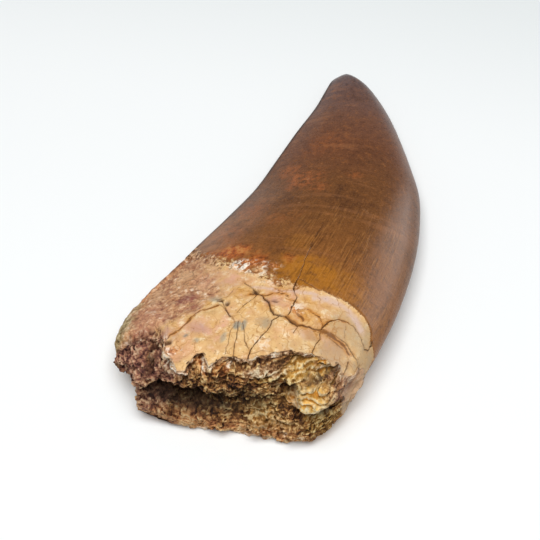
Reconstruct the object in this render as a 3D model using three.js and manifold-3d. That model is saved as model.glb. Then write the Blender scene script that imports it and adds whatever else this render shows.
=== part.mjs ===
// A fossil tooth of a large meat-eating dinosaur, lying on its side.
//
// It is one solid: an enamelled, blade-like crown that curves to a blunt tip, the worn
// root that it grew from, and the crumbled break across the root with the open pulp
// hollow behind it. Units are millimetres. +Y runs from the broken root to the tip,
// +X is the mesial (convex) edge's side and +Z is up. The origin lies under the centre
// of the tooth's box, on the surface that it rests on.

import * as THREE from 'three';
import { ImprovedNoise } from 'three/addons/math/ImprovedNoise.js';
import { mergeVertices } from 'three/addons/utils/BufferGeometryUtils.js';
import Module from 'manifold-3d';

// ---- driving dimensions -------------------------------------------------------------

const TIP_Y = 43.8;
const TIP_RADIUS = 3.2;
const ROOT_END_Y = -47; // the loft starts here, behind the break that cuts it off

// Side outlines of the blade in plan: [y, x] pairs from the root to the tip.
const DISTAL_EDGE = [
  [-46, -18.0], [-37, -21.2], [-32, -22.1], [-26, -20.8], [-19, -18.2], [-10, -14.9], [-2, -12.0],
  [6, -9.4], [15, -7.7], [24, -6.1], [32, -4.4], [38, -3.7], [44, -3.0],
];
const MESIAL_EDGE = [
  [-46, 16.0], [-36, 17.8], [-28, 19.3], [-19, 20.9], [-10, 21.7], [-3, 21.8], [4, 21.2],
  [12, 19.7], [19, 16.9], [26, 13.7], [33, 10.0], [39, 5.9], [44, 1.0],
];

// Height of the upper face above the two cutting edges: [y, height].
const UPPER_BULGE = [
  [-46, 7.2], [-37, 7.8], [-27, 8.5], [-12, 8.3], [-2, 7.5], [8, 6.4], [18, 5.1], [28, 3.8],
  [38, 2.4], [44, 1.6],
];

// The cutting edges sink towards the tip, so that the tooth rests flat on one face.
const EDGE_HEIGHT_AT_ORIGIN = 5.0;
const EDGE_SLOPE = -0.0685;

// The lower face: a hair under the floor along the root, so that a flat is worn there,
// and lifting off it towards the tip.
const WORN_FLAT_DEPTH = 0.3;
const TIP_LIFT = 1.0;

// Section shape: where its thickest line runs (-1 distal, +1 mesial edge), and how
// sharp each edge is. 0.5 is a round edge, and 1 a knife edge.
const THICKEST_AT = 0.18;
const ROOT_EDGE_POWER = 0.5;
const ROOT_UNDERSIDE_POWER = 0.36; // the root's worn underside is flatter and squarer
const DISTAL_EDGE_POWER = 0.8;
const MESIAL_EDGE_POWER = 0.6;
const ROOT_BLEND = [-36, -20]; // from the root's round section to the crown's lens

// The enamel ends in a small ledge, and the root below it lies a little deeper: [x, y].
const ENAMEL_END = [
  [-22, -25.5], [-17, -22.4], [-11, -19.2], [-5, -18.6], [0, -18.8], [5.5, -22.8], [11, -22.6],
  [15, -23.5], [18, -25.8], [22, -30],
];
const ENAMEL_LEDGE = 0.35;
const LEDGE_SPAN = [-0.5, 0.9]; // from where the step starts to its foot
const UNDERSIDE_ENAMEL_END = [
  [-22, -25.5], [-17, -23.8], [-9, -20.4], [-2, -21.6], [4, -20.2], [10, -22.6], [17, -26.4],
  [22, -30],
];

// The break's rims: [x, y] along the lower and upper edges of the root's end.
const LOWER_RIM = [
  [-22, -37], [-18, -37.6], [-16.2, -40.5], [-15, -44.2], [-12, -44.2], [-9, -43.6], [-3.3, -42.4],
  [3, -41.8], [8, -41.8], [12, -41.5], [14.2, -40.5], [16.1, -38.4], [17.5, -34.8], [22, -31],
];
const UPPER_RIM = [
  [-24, -38], [-18.9, -38.4], [-14.8, -37.8], [-12, -38.4], [-9.9, -40.5], [-6.4, -42.2],
  [-4.8, -40.4], [-1.9, -39.4], [1.9, -38], [5.5, -36], [10, -35.3], [13.7, -34.1],
  [16.2, -32.2], [22, -30],
];
// The crumbly core just under the upper edge.
const CORE_RIM = [
  [-24, -38.2], [-18, -39.2], [-12, -40.2], [-6, -41.0], [0, -40.2], [5, -38.2], [10, -36.8],
  [14, -35.8], [17, -33.8], [22, -31],
];
const SHELL_THICKNESS = 1.6; // the dense outer layer that the upper rim ends
const SHELL_STEP = 0.5; // half the height over which that layer steps out
const BREAK_Y = -38; // about where the break lies along the tooth
const BREAK_MIDDLE_X = -2;
const BREAK_HALF_WIDTH = 19.3;

// Scoops in the break's face, seen end on: centre x and z, radii, depth into the tooth.
const HOLLOWS = [
  { x: -8.0, z: 6.0, rx: 8.6, rz: 5.0, depth: 11 },
  { x: 2.6, z: 6.0, rx: 6.0, rz: 3.4, depth: 3 },
  { x: 8.4, z: 10.0, rx: 2.8, rz: 2.0, depth: 2.4 },
  { x: 12.0, z: 4.2, rx: 4.4, rz: 1.2, depth: 2.6 },
  { x: -15.5, z: 11.5, rx: 3.5, rz: 1.8, depth: 1.4 },
];

// Lumps that stand out of the break's face: centre x and z, radii, height.
const LUMPS = [
  { x: 12.4, z: 7.9, rx: 3.8, rz: 3.0, height: 2.2 },
  { x: 7.6, z: 7.6, rx: 2.2, rz: 1.6, height: 1.2 },
  { x: -8.2, z: 12.6, rx: 3.4, rz: 1.8, height: 0.8 },
  { x: -1.6, z: 10.6, rx: 3.0, rz: 1.5, height: 1.2 },
  { x: 4.0, z: 10.8, rx: 2.4, rz: 1.4, height: 1.0 },
  { x: -13.4, z: 9.4, rx: 3.2, rz: 2.2, height: 1.4 },
  { x: -18.0, z: 7.6, rx: 2.8, rz: 2.4, height: 1.2 },
  { x: -9.4, z: 1.6, rx: 3.4, rz: 1.4, height: 0.6 },
  { x: -2.2, z: 1.8, rx: 2.8, rz: 1.4, height: 0.8 },
  { x: 4.6, z: 2.6, rx: 3.2, rz: 1.6, height: 1.0 },
];
const OVAL_SLOPE = [0.3, 1.15]; // where each scoop's or lump's side starts and ends, in radii
const CRUMBLE = { height: 1.4, size: 2.8, seed: 7 }; // the break's overall roughness

// Fineness of the facets.
const RING_STEP = 2.2;
const FINE_RING_STEP = 1.3; // over the root
const FINE_RINGS_END_Y = -16;
const COLUMNS = 56;
const TIP_RINGS = 4;
const BREAK_STEP = 0.75;
const MERGE_DISTANCE = 1e-4;

// The block that is cut away behind the break, and the slab under the floor.
const CUT_BLOCK = { left: -25, right: 22, low: -3, high: 18, back: -56 };
const FLOOR_SLAB = { width: 120, length: 160, depth: 20 };

// The root's wear: its fine unevenness, and the pitted patch at the root's distal side.
const WEAR = { height: 0.12, size: 3 };
const PITS = { height: 0.7, size: 4.5, alongRoot: [22, 33], towardsDistal: [-4, 10] };
const PIT_NOISE_SHIFT = 40; // keeps the pits apart from the fine wear
const SIDEWAYS_SHARE = 0.6; // how far sideways the wear sinks at the edges

// ---- small helpers ------------------------------------------------------------------

const mix = THREE.MathUtils.lerp;
const smoothstep = THREE.MathUtils.smoothstep;
const noise = new ImprovedNoise();
const NOISE_OCTAVES = [[0.6, 1], [0.3, 2.1], [0.15, 4.3]]; // [share, how much finer]

/** A smooth curve through [t, value] pairs, as a function of t. */
function curveThrough(points) {
  const last = points.length - 1;
  const slope = (i) => {
    const a = points[Math.max(i - 1, 0)];
    const b = points[Math.min(i + 1, last)];
    return (b[1] - a[1]) / (b[0] - a[0]);
  };
  return (t) => {
    let i = 0;
    while (i < last - 1 && t > points[i + 1][0]) i += 1;
    const [t0, v0] = points[i];
    const [t1, v1] = points[i + 1];
    const span = t1 - t0;
    const u = THREE.MathUtils.clamp((t - t0) / span, 0, 1);
    const u2 = u * u;
    const u3 = u2 * u;
    return (2 * u3 - 3 * u2 + 1) * v0 + (u3 - 2 * u2 + u) * span * slope(i)
      + (3 * u2 - 2 * u3) * v1 + (u3 - u2) * span * slope(i + 1);
  };
}

/** Several sizes of noise added up, from about -1 to 1. */
function roughness(x, y, z, size) {
  let total = 0;
  for (const [share, finer] of NOISE_OCTAVES) {
    total += share * noise.noise((x * finer) / size, (y * finer) / size, (z * finer) / size);
  }
  return total;
}

const distalEdge = curveThrough(DISTAL_EDGE);
const mesialEdge = curveThrough(MESIAL_EDGE);
const upperBulge = curveThrough(UPPER_BULGE);
const enamelEnd = curveThrough(ENAMEL_END);
const undersideEnamelEnd = curveThrough(UNDERSIDE_ENAMEL_END);
const lowerRim = curveThrough(LOWER_RIM);
const upperRim = curveThrough(UPPER_RIM);
const coreRim = curveThrough(CORE_RIM);
const edgeHeight = (y) => EDGE_HEIGHT_AT_ORIGIN + EDGE_SLOPE * y;
const lowerLift = (y) => -WORN_FLAT_DEPTH + TIP_LIFT * Math.max(y / TIP_Y, 0) ** 2;

/** 1 along the blade, falling to 0 over the tip's round end. */
function tipRounding(y) {
  const u = THREE.MathUtils.clamp((y - (TIP_Y - TIP_RADIUS)) / TIP_RADIUS, 0, 1);
  return Math.sqrt(1 - u * u);
}

/** How full the section is at s, from -1 (distal edge) to 1 (mesial edge): 0 at the edges. */
function fullness(s, y, isUpper) {
  const crown = smoothstep(y, ...ROOT_BLEND);
  const root = isUpper ? ROOT_EDGE_POWER : ROOT_UNDERSIDE_POWER;
  const distal = mix(root, DISTAL_EDGE_POWER, crown);
  const mesial = mix(root, MESIAL_EDGE_POWER, crown);
  const w = (s - THICKEST_AT) / (1 - THICKEST_AT * s);
  return Math.max(1 - w * w, 0) ** mix(distal, mesial, (s + 1) / 2);
}

/** How far the skin sinks below the smooth form: the enamel's ledge and the root's wear. */
function wear(x, y, z, isUpper) {
  const end = isUpper ? enamelEnd(x) : undersideEnamelEnd(x);
  const root = smoothstep(end - y, ...LEDGE_SPAN);
  const pitted = smoothstep(-y, ...PITS.alongRoot) * smoothstep(-x, ...PITS.towardsDistal);
  const evenWear = ENAMEL_LEDGE + WEAR.height * roughness(x, y, z, WEAR.size);
  return root * evenWear + pitted * PITS.height * roughness(x, y, z + PIT_NOISE_SHIFT, PITS.size);
}

/** The point of the skin at length y and column angle a: 0 distal edge, PI mesial edge. */
function skinPoint(y, a) {
  const s = -Math.cos(a);
  const isUpper = a <= Math.PI;
  const round = tipRounding(y);
  const middle = (distalEdge(y) + mesialEdge(y)) / 2;
  const halfWidth = ((mesialEdge(y) - distalEdge(y)) / 2) * round;
  const x = middle + halfWidth * s;
  const centre = edgeHeight(y);
  const bulge = isUpper ? upperBulge(y) : lowerLift(y) - centre;
  const z = centre + bulge * round * fullness(s, y, isUpper);
  const sink = wear(x, y, z, isUpper);
  const inward = new THREE.Vector2(-s * SIDEWAYS_SHARE, -Math.sin(a)).normalize().multiplyScalar(sink);
  return new THREE.Vector3(x + inward.x, y, z + inward.y);
}

// ---- solids -------------------------------------------------------------------------

const wasm = await Module();
wasm.setup();

/** A manifold solid from a list of points and a list of triangles. */
function solidFrom(points, triangles) {
  const vertProperties = new Float32Array(points.flatMap((p) => [p.x, p.y, p.z]));
  const triVerts = new Uint32Array(triangles.flat());
  return new wasm.Manifold(new wasm.Mesh({ numProp: 3, vertProperties, triVerts }));
}

/** A closed three.js geometry as a manifold solid. */
function solidFromGeometry(geometry) {
  geometry.deleteAttribute('normal');
  geometry.deleteAttribute('uv');
  const merged = mergeVertices(geometry, MERGE_DISTANCE);
  const vertProperties = new Float32Array(merged.attributes.position.array);
  const triVerts = new Uint32Array(merged.index.array);
  return new wasm.Manifold(new wasm.Mesh({ numProp: 3, vertProperties, triVerts }));
}

/** Lengths at which the loft has a ring. */
function ringLengths() {
  const lengths = [];
  let y = ROOT_END_Y;
  while (y < TIP_Y - TIP_RADIUS) {
    lengths.push(y);
    y += y < FINE_RINGS_END_Y ? FINE_RING_STEP : RING_STEP;
  }
  for (let i = 0; i <= TIP_RINGS; i += 1) {
    lengths.push(TIP_Y - TIP_RADIUS + TIP_RADIUS * Math.sin((i / (TIP_RINGS + 1)) * (Math.PI / 2)));
  }
  return lengths;
}

/** The whole tooth before its root was broken: rings of skin points, closed at both ends. */
function unbrokenTooth() {
  const lengths = ringLengths();
  const points = [];
  const triangles = [];
  for (const y of lengths) {
    for (let j = 0; j < COLUMNS; j += 1) {
      points.push(skinPoint(y, (j / COLUMNS) * 2 * Math.PI));
    }
  }
  const at = (i, j) => i * COLUMNS + (j % COLUMNS);
  for (let i = 0; i < lengths.length - 1; i += 1) {
    for (let j = 0; j < COLUMNS; j += 1) {
      triangles.push([at(i, j), at(i, j + 1), at(i + 1, j + 1)]);
      triangles.push([at(i, j), at(i + 1, j + 1), at(i + 1, j)]);
    }
  }
  const rootPole = points.push(new THREE.Vector3(0, ROOT_END_Y, edgeHeight(ROOT_END_Y))) - 1;
  const tipX = (distalEdge(TIP_Y) + mesialEdge(TIP_Y)) / 2;
  const tipPole = points.push(new THREE.Vector3(tipX, TIP_Y, edgeHeight(TIP_Y))) - 1;
  for (let j = 0; j < COLUMNS; j += 1) {
    triangles.push([rootPole, at(0, j + 1), at(0, j)]);
    triangles.push([tipPole, at(lengths.length - 1, j), at(lengths.length - 1, j + 1)]);
  }
  return solidFrom(points, triangles);
}

/** 1 in the middle of an oval in the break's face, falling to 0 outside it. */
function ovalMask(oval, x, z) {
  const distance = Math.hypot((x - oval.x) / oval.rx, (z - oval.z) / oval.rz);
  return 1 - smoothstep(distance, ...OVAL_SLOPE);
}

/** Where the break's face lies along the tooth, at x across and z up. */
function breakLength(x, z) {
  const acrossRoot = THREE.MathUtils.clamp((x - BREAK_MIDDLE_X) / BREAK_HALF_WIDTH, -1, 1);
  const roof = skinPoint(BREAK_Y, Math.acos(-acrossRoot)).z;
  const rise = THREE.MathUtils.clamp(z / roof, 0, 1);
  const core = mix(lowerRim(x), coreRim(x), smoothstep(rise, 0, 1));
  const shellFoot = roof - SHELL_THICKNESS;
  const shell = smoothstep(z, shellFoot - SHELL_STEP, shellFoot + SHELL_STEP);
  let y = mix(core, upperRim(x), shell);
  for (const hollow of HOLLOWS) y += hollow.depth * ovalMask(hollow, x, z);
  for (const lump of LUMPS) y -= lump.height * ovalMask(lump, x, z);
  return y + CRUMBLE.height * roughness(x, CRUMBLE.seed, z, CRUMBLE.size);
}

/** A block behind the break, whose front is the break's face. */
function brokenOffBlock() {
  const { left, right, low, high, back } = CUT_BLOCK;
  const across = Math.round((right - left) / BREAK_STEP);
  const up = Math.round((high - low) / BREAK_STEP);
  const points = [];
  const triangles = [];
  for (let k = 0; k <= up; k += 1) {
    for (let i = 0; i <= across; i += 1) {
      const x = mix(left, right, i / across);
      const z = mix(low, high, k / up);
      points.push(new THREE.Vector3(x, breakLength(x, z), z));
    }
  }
  const at = (i, k) => k * (across + 1) + i;
  for (let k = 0; k < up; k += 1) {
    for (let i = 0; i < across; i += 1) {
      triangles.push([at(i, k), at(i + 1, k + 1), at(i + 1, k)]);
      triangles.push([at(i, k), at(i, k + 1), at(i + 1, k + 1)]);
    }
  }
  const border = [];
  for (let i = 0; i < across; i += 1) border.push(at(i, 0));
  for (let k = 0; k < up; k += 1) border.push(at(across, k));
  for (let i = across; i > 0; i -= 1) border.push(at(i, up));
  for (let k = up; k > 0; k -= 1) border.push(at(0, k));
  const behind = border.map((index) => points.push(points[index].clone().setY(back)) - 1);
  const centre = points.push(new THREE.Vector3((left + right) / 2, back, (low + high) / 2)) - 1;
  for (let n = 0; n < border.length; n += 1) {
    const m = (n + 1) % border.length;
    triangles.push([border[n], border[m], behind[m]]);
    triangles.push([border[n], behind[m], behind[n]]);
    triangles.push([centre, behind[n], behind[m]]);
  }
  return solidFrom(points, triangles);
}

/** The finished tooth: broken, lumpy and chipped at the root, and worn flat where it rests. */
function toothGeometry() {
  const { width, length, depth } = FLOOR_SLAB;
  const belowFloor = new THREE.BoxGeometry(width, length, depth).translate(0, 0, -depth / 2);
  const tooth = unbrokenTooth().subtract(brokenOffBlock()).subtract(solidFromGeometry(belowFloor));
  const pieces = tooth.decompose().sort((a, b) => b.volume() - a.volume());
  const mesh = pieces[0].getMesh();
  const geometry = new THREE.BufferGeometry();
  geometry.setAttribute('position', new THREE.BufferAttribute(new Float32Array(mesh.vertProperties), 3));
  geometry.setIndex(new THREE.BufferAttribute(new Uint32Array(mesh.triVerts), 1));
  geometry.computeVertexNormals();
  return geometry;
}

// ---- the model ----------------------------------------------------------------------

const fossilBrown = new THREE.MeshStandardMaterial({ color: 0x7a4a2c, roughness: 0.42, metalness: 0.0 });

const tooth = new THREE.Mesh(toothGeometry(), fossilBrown);
tooth.name = 'tooth';

const group = new THREE.Group();
group.add(tooth);

export default group;
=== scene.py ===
"""Fossil dinosaur tooth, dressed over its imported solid: worn enamel crown, cracked root, broken end."""

import math

import bpy
import numpy as np
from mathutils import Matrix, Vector, geometry, kdtree, noise


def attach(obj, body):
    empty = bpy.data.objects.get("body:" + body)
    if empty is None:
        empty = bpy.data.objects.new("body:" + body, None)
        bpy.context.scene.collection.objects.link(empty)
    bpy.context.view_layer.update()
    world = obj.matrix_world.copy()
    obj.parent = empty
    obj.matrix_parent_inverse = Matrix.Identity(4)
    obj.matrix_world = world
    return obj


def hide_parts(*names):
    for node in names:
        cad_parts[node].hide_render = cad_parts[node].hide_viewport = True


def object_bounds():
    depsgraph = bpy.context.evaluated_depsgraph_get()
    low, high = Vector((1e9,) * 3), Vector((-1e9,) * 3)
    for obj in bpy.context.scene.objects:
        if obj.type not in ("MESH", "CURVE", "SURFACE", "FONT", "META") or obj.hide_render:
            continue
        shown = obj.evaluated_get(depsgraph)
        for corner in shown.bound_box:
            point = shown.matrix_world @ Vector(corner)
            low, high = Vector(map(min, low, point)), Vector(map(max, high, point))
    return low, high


bl_info = {
    "name": "Fossil Dinosaur Tooth",
    "version": (1, 0, 0),
    "blender": (4, 5, 0),
    "location": "3D View > Sidebar > Fossil tooth",
    "description": "Builds a large fossil theropod tooth with its broken root, and its studio stage",
    "category": "Add Mesh",
}

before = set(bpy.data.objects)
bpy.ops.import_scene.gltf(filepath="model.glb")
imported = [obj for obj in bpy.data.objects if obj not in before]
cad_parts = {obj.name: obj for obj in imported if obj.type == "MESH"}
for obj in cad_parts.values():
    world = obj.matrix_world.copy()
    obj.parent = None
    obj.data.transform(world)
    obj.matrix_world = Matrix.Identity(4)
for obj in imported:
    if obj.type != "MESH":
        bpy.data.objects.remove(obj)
CAD_BOX = [list(corner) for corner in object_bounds()]
PIECE_NAME = "tooth_fossil"
MM = 0.001
# the pieces stay this far inside the part's box, in metres
BOX_MARGIN = 0.00001

# ---- form: the driving dimensions of the solid, in mm ---------------------------------

TIP_Y = 43.8
TIP_RADIUS = 3.2
ROOT_END_Y = -47.0
DISTAL_EDGE = (
    (-46, -18.0), (-37, -21.2), (-32, -22.1), (-26, -20.8), (-19, -18.2), (-10, -14.9), (-2, -12.0),
    (6, -9.4), (15, -7.7), (24, -6.1), (32, -4.4), (38, -3.7), (44, -3.0),
)
MESIAL_EDGE = (
    (-46, 16.0), (-36, 17.8), (-28, 19.3), (-19, 20.9), (-10, 21.7), (-3, 21.8), (4, 21.2), (12, 19.7),
    (19, 16.9), (26, 13.7), (33, 10.0), (39, 5.9), (44, 1.0),
)
UPPER_BULGE = (
    (-46, 7.2), (-37, 7.8), (-27, 8.5), (-12, 8.3), (-2, 7.5), (8, 6.4), (18, 5.1), (28, 3.8), (38, 2.4),
    (44, 1.6),
)
EDGE_HEIGHT_AT_ORIGIN = 5.0
EDGE_SLOPE = -0.0685
WORN_FLAT_DEPTH = 0.3
TIP_LIFT = 1.0
THICKEST_AT = 0.18
ROOT_EDGE_POWER = 0.5
ROOT_UNDERSIDE_POWER = 0.36
DISTAL_EDGE_POWER = 0.98
MESIAL_EDGE_POWER = 0.6
ROOT_BLEND = (-36, -20)
ENAMEL_END = (
    (-22, -11.0), (-15.7, -13.0), (-13.4, -14.6), (-11.4, -16.2), (-8.4, -17.8), (-6.4, -18.3), (-3.2, -19.5),
    (-0.8, -20.9), (1.7, -22.3), (5.6, -22.8), (6.4, -22.1), (11.3, -22.0), (14.9, -22.6), (16.6, -23.4),
    (17.9, -24.6), (18.6, -26.4), (22, -30),
)
UNDERSIDE_ENAMEL_END = (
    (-22, -11.0), (-17, -13.5), (-12, -17.5), (-8, -20.4), (-2, -21.6), (4, -20.2), (10, -22.6), (17, -26.4),
    (22, -30),
)
LOWER_RIM = (
    (-22, -37), (-18, -37.6), (-16.2, -40.5), (-15, -44.2), (-12, -44.2), (-9, -43.6), (-3.3, -42.4),
    (3, -41.8), (8, -41.8), (12, -41.5), (14.2, -40.5), (16.1, -38.4), (17.5, -34.8), (22, -31),
)
UPPER_RIM = (
    (-24, -38.2), (-20.5, -38.0), (-19.2, -37.9), (-18.0, -37.3), (-15.4, -36.6), (-13.8, -36.6),
    (-12.2, -37.2), (-11.6, -38.8), (-9.9, -40.4), (-8.9, -42.0), (-8.0, -42.4), (-7.1, -42.4), (-6.7, -40.6),
    (-6.1, -39.3), (-5.2, -39.0), (-4.3, -39.6), (-3.7, -40.5), (-3.1, -39.8), (-2.3, -39.2), (-1.2, -38.4),
    (0.4, -38.4), (2.3, -37.9), (3.6, -37.1), (5.0, -36.3), (6.8, -35.5), (8.9, -34.6), (11.1, -34.1),
    (13.1, -33.9), (14.4, -34.4), (15.6, -34.8), (16.8, -34.0), (18.0, -31.6), (22, -29),
)
CORE_RIM = (
    (-24, -38.2), (-18, -39.2), (-12, -40.2), (-6, -41.0), (0, -40.2), (5, -38.2), (10, -36.8), (14, -35.8),
    (17, -33.8), (22, -31),
)
SHELL_THICKNESS = 1.6
SHELL_STEP = 0.5
BREAK_Y = -38.0
BREAK_MIDDLE_X = -2.0
BREAK_HALF_WIDTH = 19.3
# hollows and lumps of the broken face: x, z, half width, half height, depth or height
HOLLOWS = (
    (2.0, 6.4, 6.4, 3.4, 1.5), (8.2, 9.8, 2.4, 1.8, 2.2), (12.6, 6.2, 4.8, 1.1, 2.6),
    (-13.6, 10.6, 1.8, 1.1, 1.6), (-5.6, 13.2, 1.1, 1.0, 1.2), (13.4, 12.3, 3.0, 0.5, 1.3),
)
CAVITY = (-8.2, 6.2, 6.8, 3.0, 6.5)
CAVITY_SLOPE = (0.62, 1.12)
LUMPS = (
    (12.6, 9.9, 4.1, 2.9, 3.0), (9.6, 12.2, 3.6, 1.2, 0.9), (-8.6, 11.0, 4.4, 1.6, 0.8),
    (-1.6, 10.6, 3.0, 1.5, 0.4), (4.0, 10.8, 2.4, 1.4, 0.5), (-14.6, 8.0, 4.2, 2.6, 1.2),
    (-9.4, 1.8, 3.4, 1.4, 0.8), (-2.2, 2.0, 2.8, 1.4, 0.9), (4.6, 2.6, 3.2, 1.6, 1.0),
    (10.6, 3.0, 3.0, 1.4, 0.8),
)
OVAL_SLOPE = (0.3, 1.15)

# ---- fineness of the mesh, in mm ------------------------------------------------------

MOST_FACES = 200000
# the columns of faces are evenly spaced at this length
COLUMNS_EVEN_Y = -28.0
UPPER_COLUMNS = 220
UNDER_COLUMNS = 84
# the columns meet the broken face past this length, and are searched in so many steps
RIM_SEARCH_Y = -24.0
RIM_SEARCH_STEPS = 560
# distance from the rim is measured past this length, and is this much elsewhere
RIM_REACH_Y = -26.0
FAR_FROM_RIM = 80.0
ROOT_RINGS = 82
ROOT_TOP_Y = -14.0
CROWN_STEP = 0.8
TIP_ZONE_Y = 12.0
TIP_STEP = 0.8
TIP_RINGS = 6
# points of the broken face: their spacing, the box that they fill, how far apart their rows are, how far
# they stray and how far from the rim they stay, the last three as shares of the spacing
BREAK_STEP = 0.15
BREAK_BOX_X = (-22.0, 22.0)
BREAK_BOX_Z = (-1.0, 15.6)
BREAK_ROW = 0.87
BREAK_STRAY = 0.16
BREAK_GAP = 0.62
BREAK_SEED = 11
BREAK_LONGEST_EDGE = 0.4
CRACK_BAND = (0.42, 0.22)

# ---- cracks of the root: width, depth, darkness, then the plan points they run through, in mm ----

CRACKS = {
    "crown_split": (0.19, 0.12, 0.75, (
        (5.7, -6.5), (5.9, -7.6), (5.7, -9.3), (5.3, -11.5), (5.3, -14.0), (5.2, -16.7), (5.3, -19.8),
        (5.1, -21.0),
    )),
    "enamel_split": (0.22, 0.22, 0.95, (
        (5.1, -21.0), (4.8, -22.8), (5.9, -24.5), (5.6, -27.1), (5.4, -28.4),
    )),
    "main_start": (0.20, 0.22, 0.9, ((-3.1, -23.2), (-1.5, -24.3), (-0.2, -25.4), (0.7, -25.8))),
    "main": (0.34, 0.36, 1.0, (
        (0.7, -25.8), (1.9, -26.7), (2.6, -28.0), (3.3, -28.8), (4.1, -28.8), (5.2, -28.8), (6.2, -29.5),
        (7.2, -29.9),
    )),
    "main_end": (0.22, 0.24, 0.8, (
        (7.2, -29.9), (8.3, -29.5), (9.5, -29.4), (11.6, -28.8), (13.4, -29.1), (14.8, -29.3), (16.1, -30.2),
        (17.1, -30.8), (17.9, -32.4),
    )),
    "main_shadow": (0.16, 0.12, 0.6, ((9.8, -29.9), (11.6, -29.6), (13.2, -30.2), (14.6, -30.6))),
    "middle": (0.24, 0.30, 0.95, (
        (4.1, -29.0), (3.3, -30.2), (3.3, -31.6), (2.8, -32.8), (2.2, -34.3), (1.6, -36.4), (1.7, -38.6),
    )),
    "upper_left": (0.18, 0.2, 0.8, (
        (-0.3, -25.6), (-0.9, -26.9), (-1.4, -27.7), (-2.0, -29.0), (-2.4, -29.7),
    )),
    "arch": (0.18, 0.18, 0.8, (
        (11.0, -28.9), (11.6, -27.4), (12.6, -26.1), (13.8, -25.6), (15.1, -25.7), (16.4, -26.3),
        (17.3, -27.4), (17.8, -28.2), (18.4, -27.7), (18.6, -26.1),
    )),
    "short_right": (0.14, 0.1, 0.45, ((14.3, -26.5), (14.5, -28.7))),
    "right_fall": (0.18, 0.22, 0.8, ((11.0, -29.6), (11.1, -30.8), (10.7, -32.5), (10.4, -35.6))),
    "right_foot": (0.2, 0.22, 0.7, ((16.1, -32.1), (15.9, -34.1), (15.0, -35.7), (14.1, -36.8))),
    "stub": (0.15, 0.15, 0.7, ((7.4, -29.9), (7.0, -31.4))),
    "plate_edge": (0.15, 0.16, 0.65, (
        (-12.2, -37.0), (-11.8, -36.1), (-11.0, -34.6), (-9.9, -33.9), (-8.8, -31.8), (-8.3, -30.2),
        (-6.8, -29.1), (-5.9, -28.4), (-5.1, -28.9), (-3.6, -30.2), (-2.6, -31.2), (-2.1, -32.0),
    )),
    "left_line": (0.14, 0.15, 0.6, (
        (-12.9, -33.9), (-11.8, -32.2), (-10.4, -30.8), (-8.6, -29.6), (-7.5, -28.6), (-6.6, -27.3),
    )),
    "slate_middle": (0.18, 0.22, 0.85, (
        (-1.7, -31.4), (-1.5, -32.4), (-1.2, -33.9), (-0.9, -36.2), (-0.5, -39.0),
    )),
    "slate_right": (0.15, 0.16, 0.7, (
        (-1.0, -31.4), (-0.5, -32.6), (-0.1, -33.7), (0.3, -35.0), (1.3, -36.2),
    )),
    "slate_left": (0.14, 0.15, 0.65, ((-2.1, -32.2), (-2.4, -33.4), (-2.2, -34.9), (-1.9, -38.0))),
    "top_left": (0.16, 0.18, 0.7, ((-6.4, -27.6), (-5.0, -26.9), (-4.4, -25.0))),
    "cluster_fall": (0.22, 0.28, 0.9, ((-5.6, -27.6), (-4.8, -28.7), (-4.0, -29.8), (-3.2, -30.8))),
    "plate_foot": (0.14, 0.12, 0.5, ((1.9, -37.0), (3.2, -36.1), (4.6, -35.8), (5.6, -35.9))),
    "enamel_hairline": (0.15, 0.1, 0.6, ((5.2, -20.9), (7.0, -21.3), (8.9, -22.0))),
}
# cracks of the underside, in the same way
UNDERSIDE_CRACKS = {
    "cross": (0.30, 0.28, 1.0, (
        (-13.4, -25.6), (-10.8, -27.3), (-7.4, -27.0), (-4.2, -28.7), (-0.6, -28.2), (2.8, -29.9),
        (6.0, -29.3), (9.4, -31.3), (13.0, -31.0),
    )),
    "left_fall": (0.2, 0.2, 0.85, (
        (-7.4, -27.0), (-8.3, -30.2), (-7.5, -33.4), (-8.8, -36.8), (-8.3, -41.6),
    )),
    "right_fall": (0.24, 0.24, 0.9, ((2.8, -29.9), (3.7, -32.6), (2.9, -35.4), (3.9, -38.2), (3.4, -40.8))),
    "rise": (0.18, 0.16, 0.8, ((-0.6, -28.2), (0.5, -25.6), (-0.3, -23.0), (0.6, -20.4), (0.0, -17.2))),
    "right_rise": (0.18, 0.16, 0.75, ((9.4, -31.3), (11.0, -28.4), (10.2, -25.8), (12.0, -24.0))),
}
# painted lines: half width, then plan points, in mm
SEAMS = {
    "seam": (
        (0.45, ((2.2, -23.6), (4.6, -25.0), (7.2, -26.0), (9.1, -26.6), (10.6, -27.2), (11.2, -28.4))),
        (0.85, (
            (5.2, -28.8), (7.2, -29.7), (9.5, -29.5), (11.6, -29.2), (13.4, -29.7), (14.8, -30.1),
            (15.8, -30.8),
        )),
        (0.5, ((-1.6, -25.6), (0.8, -25.6), (2.2, -24.6), (4.4, -24.6))), (0.9, ((6.2, -27.4), (8.0, -28.4))),
        (0.4, ((-12.0, -36.2), (-9.9, -33.6), (-8.4, -30.3), (-5.9, -28.8))),
        (0.35, ((10.8, -29.4), (11.6, -27.4), (12.6, -26.1), (14.6, -25.6))),
    ),
    # a pale lilac band along the enamel's end on the dentine: partly its own colour, partly painted sheen
    "lilac": (
        (1.1, ((8.6, -23.6), (11.3, -23.0), (13.6, -23.4), (15.4, -24.4), (16.6, -25.6))),
        (0.6, ((-1.4, -24.0), (1.6, -24.0), (4.2, -23.8), (6.2, -23.2), (8.6, -22.9))),
    ),
}
# how the cracks stray from their lines: size in mm, seed, and how far in mm
CRACK_WANDER = ((0.9, 6, 0.14), (0.3, 7, 0.05))
# half width of a groove's flat bottom and of its top, as shares of the crack's width
GROOVE = (0.15, 0.62)
# how far a crack's stain reaches past its width, in mm
CRACK_HALO = 0.4
WIDEST_CRACK = 0.34
CRACKS_END_Y = -3.0

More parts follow.
